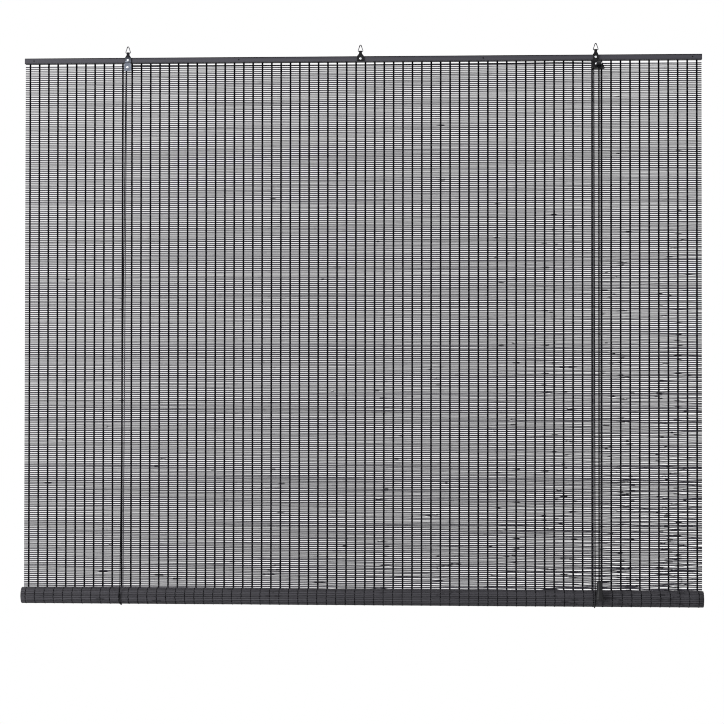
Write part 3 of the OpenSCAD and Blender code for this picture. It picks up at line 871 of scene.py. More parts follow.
@dataclass
class Weave:
    """The mat's slats as a set: where each lies, how it bends, and its marks."""

    low: Vector
    high: Vector
    pitch: float = 5.1 * MM
    thickness: float = 2.0 * MM
    warp_pitch: float = 25 * MM
    yarn_half_t: float = 0.42 * MM
    yarn_offset: float = 0.3 * MM
    base_stations: int = 73
    nodes: int = 12
    node_spread: float = 0.3
    node_half_mm: tuple[float, float] = (4, 11)
    node_steps: tuple[float, ...] = (-1.0, -0.55, 0.55, 1.0)
    node_swell: tuple[float, ...] = (0.0, 1.0, 1.0, 0.0)
    knob_chance: float = 0.055
    knob_power: float = 2.6
    knob_free: float = 0.03
    knob_size: tuple[float, float] = (0.7, 1.0)
    plain_size: tuple[float, float] = (0, 0.25)
    foot_height: float = 0.1
    foot_stretch: float = 2.2
    kink_mm: tuple[float, float] = (0.5, 1.3)
    gap_share: float = 0.25
    gap_more_above: float = 0.105
    gap_more_outside: float = 0.055
    gap_more_left: float = 0.015
    shade_spread: float = 0.16
    shade_limits: tuple[float, float] = (0.6, 1.5)
    girth_spread: float = 0.06
    girth_limits: tuple[float, float] = (0.86, 1.14)
    unrest_calm: float = 0.7
    unrest_below: float = 0.5
    unrest_corner: float = 2.4
    corner_power: int = 4
    unrest_roll: float = 0.9
    roll_zone: float = 0.08
    grid_step: float = 6.25 * MM
    grid_inside: float = 0.001
    bunched: int = 3
    bunch_pitch: float = 3.65 * MM
    wave_m: tuple[float, ...] = (1.7, 0.8, 0.37, 0.16, 0.093, 0.061)
    wave_rise_mm: tuple[float, ...] = (0.16, 0.14, 0.10, 0.06, 0.05, 0.04)
    long_wave_m: float = 0.3
    short_wave_power: float = 1.8
    settle_rounds: int = 16
    seed: int = 7

    def __post_init__(self) -> None:
        """Draws the seeded shape of every slat."""
        draw = np.random.default_rng(self.seed)
        self.count = round((self.high.z - self.low.z) / self.pitch)
        self.half_w = (self.high.x - self.low.x) / 2
        self.mid_y = (self.low.y + self.high.y) / 2
        self.levels = self.low.z + (np.arange(self.count) + 0.5) * self.pitch
        close = (np.arange(self.bunched)[::-1] + 0.5) * self.bunch_pitch
        self.levels[-self.bunched:] = self.high.z - close
        self.wave_len = np.array(self.wave_m)
        self.wave_amp = np.array(self.wave_rise_mm) * MM
        self.wave_phase = draw.uniform(0, FULL_TURN, (self.count, len(self.wave_len)))
        self.shade = draw.normal(1.0, self.shade_spread, self.count).clip(*self.shade_limits)
        self.girth = draw.normal(1.0, self.girth_spread, self.count).clip(*self.girth_limits)
        self.draw_nodes(draw)
        warps = round(2 * self.half_w / self.warp_pitch)
        self.warp_x = (np.arange(warps) - (warps - 1) / 2) * self.warp_pitch
        steps = round(2 * self.half_w / self.grid_step)
        self.grid_x = np.linspace(-self.half_w, self.half_w, steps + 1)
        self.rise = self.settled(self.waves())

    def draw_nodes(self, draw: np.random.Generator) -> None:
        """Draws the bamboo's nodes: their places, sizes and kinks. Dark, knobby ones are rare.

        Args:
            draw: The weave's own generator.
        """
        shape = (self.count, self.nodes)
        spacing = 2 * self.half_w / self.nodes
        middle = -self.half_w + (np.arange(self.nodes) + 0.5) * spacing
        self.node_x = middle + draw.uniform(-self.node_spread, self.node_spread, shape) * spacing
        level = np.broadcast_to(self.levels[:, None], shape)
        unrest = self.unrest(level, self.node_x)
        chance = self.knob_chance * unrest**self.knob_power - self.knob_free
        knobby = draw.uniform(0, 1, shape) < chance
        large = draw.uniform(*self.knob_size, shape)
        small = draw.uniform(*self.plain_size, shape)
        self.node_size = np.where(knobby, large, small)
        at_foot = level < self.low.z + self.foot_height
        half = draw.uniform(*self.node_half_mm, shape) * MM
        self.node_half = half * np.where(at_foot, self.foot_stretch, 1)
        kink = draw.uniform(*self.kink_mm, shape) * draw.choice([-1.0, 1.0], shape) * MM
        self.node_kink = np.where(knobby, kink, 0)

    def height(self, level: np.ndarray, x: np.ndarray) -> np.ndarray:
        """Height of a slat at a place: the slats are split finer towards the top and the sides.

        Args:
            level: Heights of the places.
            x: Places across.

        Returns:
            The slat's own height there, in metres.
        """
        up = (level - self.low.z) / (self.high.z - self.low.z)
        out = x / self.half_w
        share = self.gap_share + self.gap_more_above * up
        share = share + self.gap_more_outside * out**2 - self.gap_more_left * out
        return self.pitch * (1 - share)

    def unrest(self, level: np.ndarray, x: np.ndarray) -> np.ndarray:
        """How restless the weave is at a place: most at the lower right.

        Args:
            level: Heights.
            x: Places across.

        Returns:
            A factor, near one in the calm part.
        """
        down = (self.high.z - level) / (self.high.z - self.low.z)
        right = (x + self.half_w) / (2 * self.half_w)
        near_roll = ((down - 1) / self.roll_zone + 1).clip(0, 1)
        calm = self.unrest_calm + self.unrest_below * down
        corner = self.unrest_corner * down * right**self.corner_power
        return calm + corner + self.unrest_roll * near_roll * right

    def waves(self) -> np.ndarray:
        """Free bends and kinks of every slat, along the grid.

        Returns:
            The rise of each slat's middle line over its even place, a row for each slat.
        """
        turns = FULL_TURN * self.grid_x[None, :, None] / self.wave_len
        turns = turns + self.wave_phase[:, None, :]
        restless = self.unrest(self.levels[:, None], self.grid_x[None, :])[..., None]
        power = np.where(self.wave_len > self.long_wave_m, 1.0, self.short_wave_power)
        bends = (self.wave_amp * np.sin(turns) * restless**power).sum(-1)
        off = (self.grid_x[None, None, :] - self.node_x[:, :, None]) / self.node_half[:, :, None]
        kinks = self.node_kink[:, :, None] * (2 - 2 * np.abs(off)).clip(0, 1)
        return bends + kinks.sum(1)

    def settled(self, rise: np.ndarray) -> np.ndarray:
        """Pushes slats apart where they would run into each other.

        Args:
            rise: Rise of each slat along the grid.

        Returns:
            The settled rise.
        """
        level = self.levels[:, None]
        height = self.height(level, self.grid_x[None, :]) * self.girth[:, None]
        need = (height[:-1] + height[1:]) / 2
        place = level + rise
        for _ in range(self.settle_rounds):
            push = (need - np.diff(place, axis=0)).clip(0) / 2
            place[:-1] -= push
            place[1:] += push
        return place - level

    def sag(self, slat: np.ndarray, x: np.ndarray) -> np.ndarray:
        """Height of a slat's middle line over its even place.

        Args:
            slat: Numbers of slats.
            x: Places across, of a like shape.

        Returns:
            The rise at each place, in metres.
        """
        last = len(self.grid_x) - 1
        along = ((x + self.half_w) / (2 * self.half_w) * last).clip(0, last - self.grid_inside)
        left = along.astype(int)
        part = along - left
        return self.rise[slat, left] * (1 - part) + self.rise[slat, left + 1] * part

    def stations(self) -> tuple[np.ndarray, np.ndarray]:
        """Places along each slat where its section is set.

        Returns:
            The places, a row for each slat, and the swelling mark at each.
        """
        even = np.linspace(-self.half_w, self.half_w, self.base_stations)
        even = np.broadcast_to(even, (self.count, self.base_stations))
        steps, swell = np.array([self.node_steps, self.node_swell])
        near = self.node_x[:, :, None] + steps * self.node_half[:, :, None]
        mark = swell * self.node_size[:, :, None]
        x = np.concatenate([even, near.reshape(self.count, -1)], 1)
        mark = np.concatenate([np.zeros(even.shape), mark.reshape(self.count, -1)], 1)
        order = np.argsort(x, 1)
        x = np.take_along_axis(x, order, 1).clip(-self.half_w, self.half_w)
        return x, np.take_along_axis(mark, order, 1)


class SlatBlank:
    """One slat, modelled once: a flattened six-sided stick with a station at each set section."""

    sides = 6
    flat_share = 0.74
    shoulder_below = 0.9
    long_edge = 0.5

    def __init__(self, stations: int) -> None:
        """Models the blank and keeps its shape.

        Args:
            stations: Sections along the slat, both ends included.
        """
        Bench.pick()
        bpy.ops.mesh.primitive_cylinder_add(
            vertices=self.sides, radius=0.5, depth=1, end_fill_type="NGON",
            rotation=(0, math.pi / 2, 0),
        )
        piece = Bench.settle("slat_blank")
        self.divide(piece, stations - 2)
        mesh = piece.data
        points = np.empty(len(mesh.vertices) * 3)
        mesh.vertices.foreach_get("co", points)
        self.points = points.reshape(-1, 3)
        self.station = np.rint((self.points[:, 0] + 0.5) * (stations - 1)).astype(int)
        self.section = self.points[:, 1:] / np.abs(self.points[:, 1:]).max(0)
        shoulder = np.abs(self.section[:, 1]) < self.shoulder_below
        self.section[shoulder, 1] = np.sign(self.section[shoulder, 1]) * self.flat_share
        quads = [tuple(face.vertices) for face in mesh.polygons if len(face.vertices) == 4]
        for face in mesh.polygons:
            if len(face.vertices) == self.sides:
                a, b, c, d, e, f = face.vertices
                quads += [(a, b, c, d), (a, d, e, f)]
        self.quads = np.array(quads)
        bpy.data.objects.remove(piece)

    @staticmethod
    def divide(piece: Object, cuts: int) -> None:
        """Cuts the stick's long edges and turns it flat side up.

        Args:
            piece: The stick, one metre along x.
            cuts: Cuts along it.
        """
        Bench.open()
        bpy.ops.mesh.select_mode(type="EDGE")
        mesh = bmesh.from_edit_mesh(piece.data)
        for part in (*mesh.faces, *mesh.edges):
            part.select_set(False)
        for edge in mesh.edges:
            if abs(edge.verts[0].co.x - edge.verts[1].co.x) > SlatBlank.long_edge:
                edge.select_set(True)
        bmesh.update_edit_mesh(piece.data)
        bpy.ops.mesh.subdivide(number_cuts=cuts)
        bpy.ops.mesh.select_all(action="SELECT")
        half_side = math.pi / SlatBlank.sides
        bpy.ops.transform.rotate(value=half_side, orient_axis="X", center_override=(0, 0, 0))
        Bench.close()

    def copies(self, name: str, points: np.ndarray, shade: np.ndarray, mark: np.ndarray) -> Object:
        """Makes one piece of many slats.

        Args:
            name: Name of the piece.
            points: Points of each slat, in the blank's order.
            shade: Shade of each slat.
            mark: Darkness at each point.

        Returns:
            The piece.
        """
        first = np.arange(len(points))[:, None, None] * len(self.points)
        faces = (self.quads[None] + first).reshape(-1, 4)
        piece = Bench.from_arrays(name, points.reshape(-1, 3), faces)
        Bench.attribute(piece, "shade", np.repeat(shade, len(self.points)))
        Bench.attribute(piece, "mark", mark.ravel())
        return piece


def diamond_tubes(
    name: str, lines: list[np.ndarray], half_w: float, outward: np.ndarray
) -> Object:
    """Joins many four-sided yarns of like length into one piece.

    Args:
        name: Name of the piece.
        lines: Points of each yarn.
        half_w: Half width of a yarn.
        outward: Half thickness at each point, as vectors.

    Returns:
        The piece.
    """
    size = len(lines[0])
    across = np.array([half_w, 0, 0])
    ring = np.arange(4)
    steps = np.arange(size - 1)[:, None]
    a = steps * 4 + ring
    b = steps * 4 + (ring + 1) % 4
    sides = np.stack([a, a + 4, b + 4, b], -1).reshape(-1, 4)
    caps = np.array([[0, 1, 2, 3], [3, 2, 1, 0]]) + np.array([[0], [(size - 1) * 4]])
    faces = np.concatenate([sides, caps])
    points = []
    for line in lines:
        corners = [line - across, line - outward, line + across, line + outward]
        points.append(np.stack(corners, 1).reshape(-1, 3))
    first = np.arange(len(lines))[:, None, None] * size * 4
    faces = (faces[None] + first).reshape(-1, 4)
    piece = Bench.from_arrays(name, np.concatenate(points), faces)
    Bench.clean(piece)
    return piece


@dataclass
class Mat:
    """The hanging mat: its slats in three bands and its warp yarns in four groups of columns."""

    finishes: Finishes
    weave: Weave
    blank: SlatBlank
    anchor_z: float
    keep: float
    bands: tuple[str, ...] = ("upper", "middle", "lower")
    columns: tuple[str, ...] = ("far_left", "left", "right", "far_right")
    yarn_half_w: float = 2.0 * MM
    swell_h: float = 0.28
    swell_t: float = 0.12

    def build(self) -> None:
        """Makes and dresses the slats and the yarns."""
        x, mark = self.weave.stations()
        bands = np.array_split(np.arange(self.weave.count), len(self.bands))
        for name, rows in zip(self.bands, bands):
            piece = self.slats(f"mat_slats_{name}", rows, x, mark)
            self.hang(piece, Slot.SLAT, "mat")
        groups = np.array_split(np.arange(len(self.weave.warp_x)), len(self.columns))
        for name, columns in zip(self.columns, groups):
            piece = self.yarns(f"warp_yarns_{name}", columns)
            self.hang(piece, Slot.WARP, "warp_threads_front", "warp_threads_back")

    def hang(self, piece: Object, slot: Slot, *nodes: str) -> None:
        """Hangs a piece from the headrail, with a mesh of its own.

        Args:
            piece: The piece.
            slot: Its material slot.
            *nodes: The nodes that it replaces.
        """
        self.finishes.fit(piece, slot, Body.HEADRAIL, *nodes)
        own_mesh(piece)

    def slats(self, name: str, rows: np.ndarray, x: np.ndarray, mark: np.ndarray) -> Object:
        """Copies the blank slat for a band of rows, each with its own bends and marks.

        Args:
            name: Name of the piece.
            rows: Numbers of the slats.
            x: Places of each slat's stations.
            mark: Swelling at each station.

        Returns:
            The piece.
        """
        weave, blank = self.weave, self.blank
        along = x[rows][:, blank.station]
        swell = mark[rows][:, blank.station]
        slat = np.broadcast_to(rows[:, None], along.shape)
        half_h = weave.height(weave.levels[slat], along) / 2 * weave.girth[slat]
        half_h = half_h * (1 + self.swell_h * swell)
        half_t = weave.thickness / 2 * (1 + self.swell_t * swell)
        y = weave.mid_y + blank.section[:, 0] * half_t
        z = weave.levels[slat] + weave.sag(slat, along) + blank.section[:, 1] * half_h
        return blank.copies(name, np.stack([along, y, z], -1), weave.shade[rows], swell)

    def yarns(self, name: str, columns: np.ndarray) -> Object:
        """Weaves two yarns for each column, each in front of every other slat.

        Args:
            name: Name of the piece.
            columns: Numbers of the warp columns.

        Returns:
            The piece.
        """
        weave = self.weave
        rows = np.flatnonzero(weave.levels < self.anchor_z)
        reach = weave.thickness / 2 + weave.yarn_half_t
        lines = []
        for x in weave.warp_x[columns]:
            rise = weave.levels[rows] + weave.sag(rows, np.full(len(rows), x))
            rise = np.append(rise, self.anchor_z)
            for twin, way in enumerate((-1, 1)):
                side = np.append(np.where((rows + twin) % 2 == 0, -1.0, 1.0), 0)
                place = np.full(len(rise), x + weave.yarn_offset * way)
                lines.append(np.stack([place, weave.mid_y + side * reach, rise], 1))
        outward = np.array([[0, weave.yarn_half_t, 0]] * len(lines[0]))
        return diamond_tubes(name, lines, self.yarn_half_w, outward)


@dataclass
class Roll:
    """The rolled end of the mat: slats laid round a spiral, with yarns over the outer turn."""

    finishes: Finishes
    weave: Weave
    blank: SlatBlank
    axis_y: float
    axis_z: float
    outer_r: float
    half_mat: float = 1.2 * MM
    turn_pitch: float = 2.8 * MM
    last_r: float = 10.6 * MM
    slat_h: float = 4.8 * MM
    swell_h: float = 0.1
    mark_share: float = 0.6
    shade_spread: float = 0.14
    shade_limits: tuple[float, float] = (0.6, 1.4)
    drift: tuple[float, float] = (0.22 * MM, 0.9)
    lift: tuple[float, float] = (0.12 * MM, 0.53)
    outer_turns: float = 1.12
    yarn_half_w: float = 1.2 * MM
    yarn_sink: float = 0.4
    seed: int = 19

    def __post_init__(self) -> None:
        """Works out the spiral: radius of its first turn, and radius lost for each radian."""
        self.first_r = self.outer_r - self.half_mat
        self.slope = self.turn_pitch / FULL_TURN

    def angle(self, length: np.ndarray) -> np.ndarray:
        """Angle turned after a length of mat has gone onto the roll, in radians."""
        first, slope = self.first_r, self.slope
        return (first - np.sqrt(first * first - 2 * slope * length)) / slope

    def place(self, length: np.ndarray, out: np.ndarray) -> tuple[np.ndarray, np.ndarray]:
        """Places points on the spiral.

        Args:
            length: Distances along the mat.
            out: Distances outwards from the mat's middle.

        Returns:
            Their y and z.
        """
        turned = self.angle(length)
        radius = self.first_r - self.turn_pitch * turned / FULL_TURN + out
        return self.axis_y + radius * np.cos(turned), self.axis_z - radius * np.sin(turned)

    def build(self) -> None:
        """Makes and dresses the rolled slats and their yarns."""
        total = (self.first_r**2 - self.last_r**2) / (2 * self.slope)
        rows = np.arange(int(total / self.weave.pitch))
        self.finishes.fit(self.slats(rows), Slot.ROLL, Body.ROLL, "roll_turns")
        turned = self.angle((rows + 0.5) * self.weave.pitch)
        outer = np.flatnonzero(turned < self.outer_turns * FULL_TURN)
        self.finishes.fit(self.yarns(outer), Slot.WARP, Body.ROLL, "roll_turns")

    def slats(self, rows: np.ndarray) -> Object:
        """Copies the blank slat along the spiral.

        Args:
            rows: Numbers of the slats from the outside.

        Returns:
            The piece.
        """
        weave, blank = self.weave, self.blank
        draw = np.random.default_rng(self.seed)
        x, mark = weave.stations()
        along = x[rows][:, blank.station]
        swell = mark[rows][:, blank.station]
        level = (rows[:, None] + 0.5) * weave.pitch
        phase = draw.uniform(0, FULL_TURN, (len(rows), 1))
        shade = draw.normal(1.0, self.shade_spread, len(rows)).clip(*self.shade_limits)
        (drift_m, drift_wave), (lift_m, lift_wave) = self.drift, self.lift
        drift = drift_m * np.sin(along * FULL_TURN / drift_wave + phase)
        lift = lift_m * np.sin(along * FULL_TURN / lift_wave + 2 * phase)
        half_h = blank.section[:, 1] * self.slat_h / 2 * (1 + self.swell_h * swell)
        out = lift + blank.section[:, 0] * weave.thickness / 2
        y, z = self.place(level + drift + half_h, out)
        points = np.stack([along, y, z], -1)
        piece = blank.copies("roll_slats", points, shade, self.mark_share * swell)
        Bench.clean(piece)
        return piece

    def yarns(self, rows: np.ndarray) -> Object:
        """Weaves the yarns over the outer turn.

        Args:
            rows: Numbers of the outer slats.

        Returns:
            The piece.
        """
        weave = self.weave
        length = (rows + 0.5) * weave.pitch
        reach = weave.thickness / 2 + weave.yarn_half_t
        turned = self.angle(length)
        outward = np.stack([np.zeros(len(rows)), np.cos(turned), -np.sin(turned)], 1)
        lines = []
        for x in weave.warp_x:
            for twin, way in enumerate((-1, 1)):
                side = np.where((rows + twin) % 2 == 0, 1.0, -self.yarn_sink)
                y, z = self.place(length, side * reach)
                place = np.full(len(rows), x + weave.yarn_offset * way)
                lines.append(np.stack([place, y, z], 1))
        return diamond_tubes(
            "roll_warp_yarns", lines, self.yarn_half_w, outward * weave.yarn_half_t
        )


def arc(
    centre: Point, across: Point, up: Point, radius: float, start: float, end: float
) -> list[Point]:
    """Points of an arc.

    Args:
        centre: Its centre.
        across: Direction of angle nought.
        up: Direction of a quarter turn.
        radius: Its radius.
        start: First angle, in degrees.
        end: Last angle, in degrees.

    Returns:
        Points along it.
    """
    middle, first, second = np.array(centre), np.array(across), np.array(up)
    angles = np.radians(np.linspace(start, end, ARC_POINTS))
    return [
        tuple(middle + radius * (math.cos(a) * first + math.sin(a) * second)) for a in angles
    ]


def scaled(points: Sequence[Point], from_x: float = 0.0) -> list[Point]:
    """Turns given points from millimetres into metres, counted from a place across."""
    return [(from_x + x * MM, y * MM, z * MM) for x, y, z in points]


def barrel_knot(foot: Point, radius: float, rise: float, turns: float) -> list[Point]:
    """Route of a cord wound on itself as a stopper knot.

    Args:
        foot: Middle of the knot's lowest turn.
        radius: Radius of the turns.
        rise: Rise of each turn.
        turns: Number of turns.

    Returns:
        Points along the turns.
    """
    x, y, z = foot
    angles = np.linspace(0, FULL_TURN * turns, round(KNOT_STEPS * turns) + 1)
    return [
        (x + radius * math.cos(a), y + radius * math.sin(a), z + rise * a / FULL_TURN)
        for a in angles
    ]


class CordTube:
    """A round cord along a route, closed at both ends, with its own map of turns and length."""

    sides = 8
    uv_name = "cord"
    digits = 7
    least_part = 50
    upright = 0.9

    def __init__(
        self, name: str, route: Sequence[Point], radius: float, step: float = 12 * MM
    ) -> None:
        """Makes the cord's mesh.

        Args:
            name: Name of the piece.
            route: Points that it follows.
            radius: Radius of the cord.
            step: Longest distance between its sections.
        """
        self.path, along = self.spaced(np.array(route, float), step)
        rings = self.rings(radius)
        count, sides = len(self.path), self.sides
        ring = np.arange(sides)
        first = np.arange(count - 1)[:, None] * sides
        near, far = first + ring, first + (ring + 1) % sides
        walls = np.stack([near, far, far + sides, near + sides], -1).reshape(-1, 4)
        cap = np.array([[0, 3, 2, 1], [0, 7, 4, 3], [4, 7, 6, 5]])
        faces = np.concatenate([walls, cap, cap[:, ::-1] + (count - 1) * sides])
        self.piece = Bench.from_arrays(name, rings.reshape(-1, 3), faces)
        self.length = float(along[-1])
        self.map(len(walls), along)
        LOG.info("%s: %.3f m", name, self.length)

    @staticmethod
    def spaced(route: np.ndarray, step: float) -> tuple[np.ndarray, np.ndarray]:
        """Adds even steps between the route's own points.

        Args:
            route: The route's points.
            step: Longest distance between points.

        Returns:
            All points, and the length up to each.
        """
        spans = np.linalg.norm(np.diff(route, axis=0), axis=1)
        reach = np.concatenate([[0], np.cumsum(spans)])
        even = np.linspace(0, reach[-1], max(2, math.ceil(reach[-1] / step) + 1))
        along = np.unique(np.concatenate([reach, even]).round(CordTube.digits))
        apart = np.diff(along) > step / CordTube.least_part
        along = along[np.concatenate([[True], apart])]
        return np.stack([np.interp(along, reach, route[:, k]) for k in range(3)], 1), along

    def rings(self, radius: float) -> np.ndarray:
        """Sections of the cord, turned as little as possible from one to the next.

        Args:
            radius: Radius of the cord.

        Returns:
            A ring of points for each point of the path.
        """
        ways = np.gradient(self.path, axis=0)
        ways /= np.linalg.norm(ways, axis=1, keepdims=True)
        seed = np.array([0.0, 1.0, 0.0] if abs(ways[0][1]) < self.upright else [1.0, 0.0, 0.0])
        angles = np.linspace(0, FULL_TURN, self.sides, endpoint=False)
        rings = []
        for point, way in zip(self.path, ways):
            seed = seed - way * seed.dot(way)
            seed /= np.linalg.norm(seed)
            across = np.outer(np.cos(angles), seed)
            up = np.outer(np.sin(angles), np.cross(way, seed))
            rings.append(point + radius * (across + up))
        return np.array(rings)

    def map(self, walls: int, along: np.ndarray) -> None:
        """Maps turns round the cord to u and metres along it to v.

        Args:
            walls: Number of its wall faces, which come first.
            along: Length up to each section.
        """
        layer = self.piece.data.uv_layers.new(name=self.uv_name)
        places = np.zeros((len(self.piece.data.loops), 2))
        turn, step = np.arange(self.sides) / self.sides, 1 / self.sides
        u = np.stack([turn, turn + step, turn + step, turn], -1)
        low, high = along[:-1, None], along[1:, None]
        v = np.stack([low, low, high, high], -1)
        shape = (len(along) - 1, self.sides, 4)
        for axis, values in enumerate((u, v)):
            places[: walls * 4, axis] = np.broadcast_to(values, shape).ravel()
        layer.data.foreach_set("uv", places.ravel())


@dataclass
class Cords:
    """Lift cords, cross cord, lock cord and knots, on the routes of their solids."""

    finishes: Finishes
    hanger_x: float
    rail_z: float
    radius: float = 1.2 * MM
    knot_thin: float = 0.85
    pulley_r: float = 5 * MM
    pulley_z: float = -19.5 * MM
    leave_pulley: float = 0.3 * MM
    back_pulley_y: float = -23.6 * MM
    front_pulley_y: float = -29.3 * MM
    strip_y: float = -2.5 * MM
    behind_y: float = -3.5 * MM
    lip: tuple[float, float] = (-46 * MM, -33.6 * MM)
    lip_turn_r: float = 5 * MM
    lock_sides: tuple[float, float] = (5 * MM, 8.5 * MM)
    tassel_sides: tuple[float, float] = (4.65 * MM, 7.35 * MM)
    sling_x: tuple[float, float] = (-634 * MM, 617 * MM)
    hole_x: tuple[float, float] = (-628 * MM, 617 * MM)

    def build(self, axis: tuple[float, float], sling_r: float, mat_z: float, lift: float) -> None:
        """Makes every cord that stays on the blind.

        Args:
            axis: Place of the roll's axis, as y and z.
            sling_r: Radius of the slings round the roll.
            mat_z: Height of the mat's lower end.
            lift: Rise of the roll at full lift; not used.
        """
        top = self.pulley_z - self.leave_pulley
        under = -self.rail_z
        pulleys = (-self.hanger_x - self.pulley_r, self.hanger_x - self.pulley_r)
        sides = zip(("left", "right"), pulleys, self.hole_x, self.sling_x)
        for side, pulley_x, hole_x, sling_x in sides:
            back = [
                (hole_x, self.strip_y, self.rail_z),
                (hole_x, self.strip_y, under),
                (sling_x, self.behind_y, mat_z),
            ]
            front = [(sling_x, axis[0] - sling_r, mat_z), (pulley_x, self.back_pulley_y, top)]
            sling = arc((sling_x, *axis), (0, 1, 0), (0, 0, -1), sling_r, 0, 180)
            self.run(f"{side}_cord_back_run", back)
            self.run(f"{side}_cord_front_run", front)
            self.fixed(f"{side}_cord_sling", sling, Body.SLING)
        self.fixed("cross_cord", self.cross_route(), Body.HEADRAIL)
        self.fixed("right_lock_cord", self.lock_route(), Body.HEADRAIL)
        for side, x in zip(("left", "right"), self.hole_x):
            self.lift_knot(side, x)

    def fixed(self, node: str, route: Sequence[Point], body: Body) -> None:
        """Makes a cord that keeps its shape."""
        tube = CordTube(f"{node}_braid", route, self.radius)
        self.finishes.fit(tube.piece, Slot.CORD, body, node)

    def run(self, node: str, route: Sequence[Point]) -> None:
        """Makes an upright run on the headrail, with a mesh of its own.

        Args:
            node: The node that it replaces.
            route: Its points.
        """
        tube = CordTube(f"{node}_braid", route, self.radius, step=30 * MM)
        piece = self.finishes.fit(tube.piece, Slot.CORD, Body.HEADRAIL, node)
        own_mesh(piece)

    def lift_knot(self, side: str, x: float) -> None:
        """Ties a lift cord's upper end in a barrel knot on the back strip.

        Args:
            side: Side of the blind.
            x: Place of the cord's hole.
        """
        foot = (x, self.strip_y, self.rail_z + self.radius)
        route = barrel_knot(foot, radius=1.15 * MM, rise=1.6 * MM, turns=2.25)
        thin = self.radius * self.knot_thin
        tube = CordTube(f"{side}_lift_cord_knot", route, thin, step=0.8 * MM)
        self.finishes.fit(tube.piece, Slot.CORD, Body.HEADRAIL, "lift_cord_knots")

    def over_lip(self, cord: int) -> list[Point]:
        """Last stretch of a cord in the lock: down over the lip."""
        lip = (self.hanger_x + self.lock_sides[cord], *self.lip)
        return arc(lip, (0, 0, 1), (0, -1, 0), self.lip_turn_r, 0, 90)

    def over_pulley(self, x: float, y: float, start: float, end: float) -> list[Point]:
        """Stretch of a cord over a pulley, between two angles in degrees from its left."""
        centre = (x, y, self.pulley_z)
        return arc(centre, (-1, 0, 0), (0, 0, 1), self.pulley_r, start, end)

    def cross_route(self) -> list[Point]:
        """Route of the cord from the left pulley to the lip of the lock.

        Returns:
            Points of the route.
        """
        left = self.over_pulley(-self.hanger_x, self.back_pulley_y, 0, 90)
        right = self.over_pulley(self.hanger_x, self.front_pulley_y, 90, 180)
        hanging = [(-400, -24, -16), (0, -26, -17), (400, -28, -16)]
        lowered = [(5, -29.8, -23.6), (5, -31.2, -26.6), (5, -34, -28.6)]
        end = scaled(lowered, self.hanger_x) + self.over_lip(0)
        return left + scaled(hanging) + right + end

    def lock_route(self) -> list[Point]:
        """Route of the right lift cord over its pulley to the lip of the lock.

        Returns:
            Points of the route.
        """
        over = self.over_pulley(self.hanger_x, self.back_pulley_y, 0, 180)
        lowered = [(5.4, -23.8, -22), (6.6, -24.6, -25), (8, -26.8, -27.6), (8.5, -31, -28.6)]
        return over + scaled(lowered, self.hanger_x) + self.over_lip(1)


def turned(
    name: str, outline: Sequence[tuple[float, float]], centre: tuple[float, float], steps: int = 40
) -> Object:
    """Turns a closed outline round an upright axis.

    Args:
        name: Name of the piece.
        outline: Radius and height of each point, round the section.
        centre: Place of the axis, as x and y.
        steps: Sections in a full turn.

    Returns:
        The piece, shaded smooth.
    """
    Bench.pick()
    bpy.ops.mesh.primitive_circle_add(vertices=len(outline), radius=1, fill_type="NOTHING")
    piece = Bench.settle(name)
    for corner, (radius, height) in zip(piece.data.vertices, outline):
        corner.co = (centre[0] + radius, centre[1], height)
    Bench.open()
    bpy.ops.mesh.spin(steps=steps, angle=FULL_TURN, center=(*centre, 0), axis=(0, 0, 1))
    Bench.close()
    Bench.clean(piece)
    Bench.smooth(piece)
    return piece


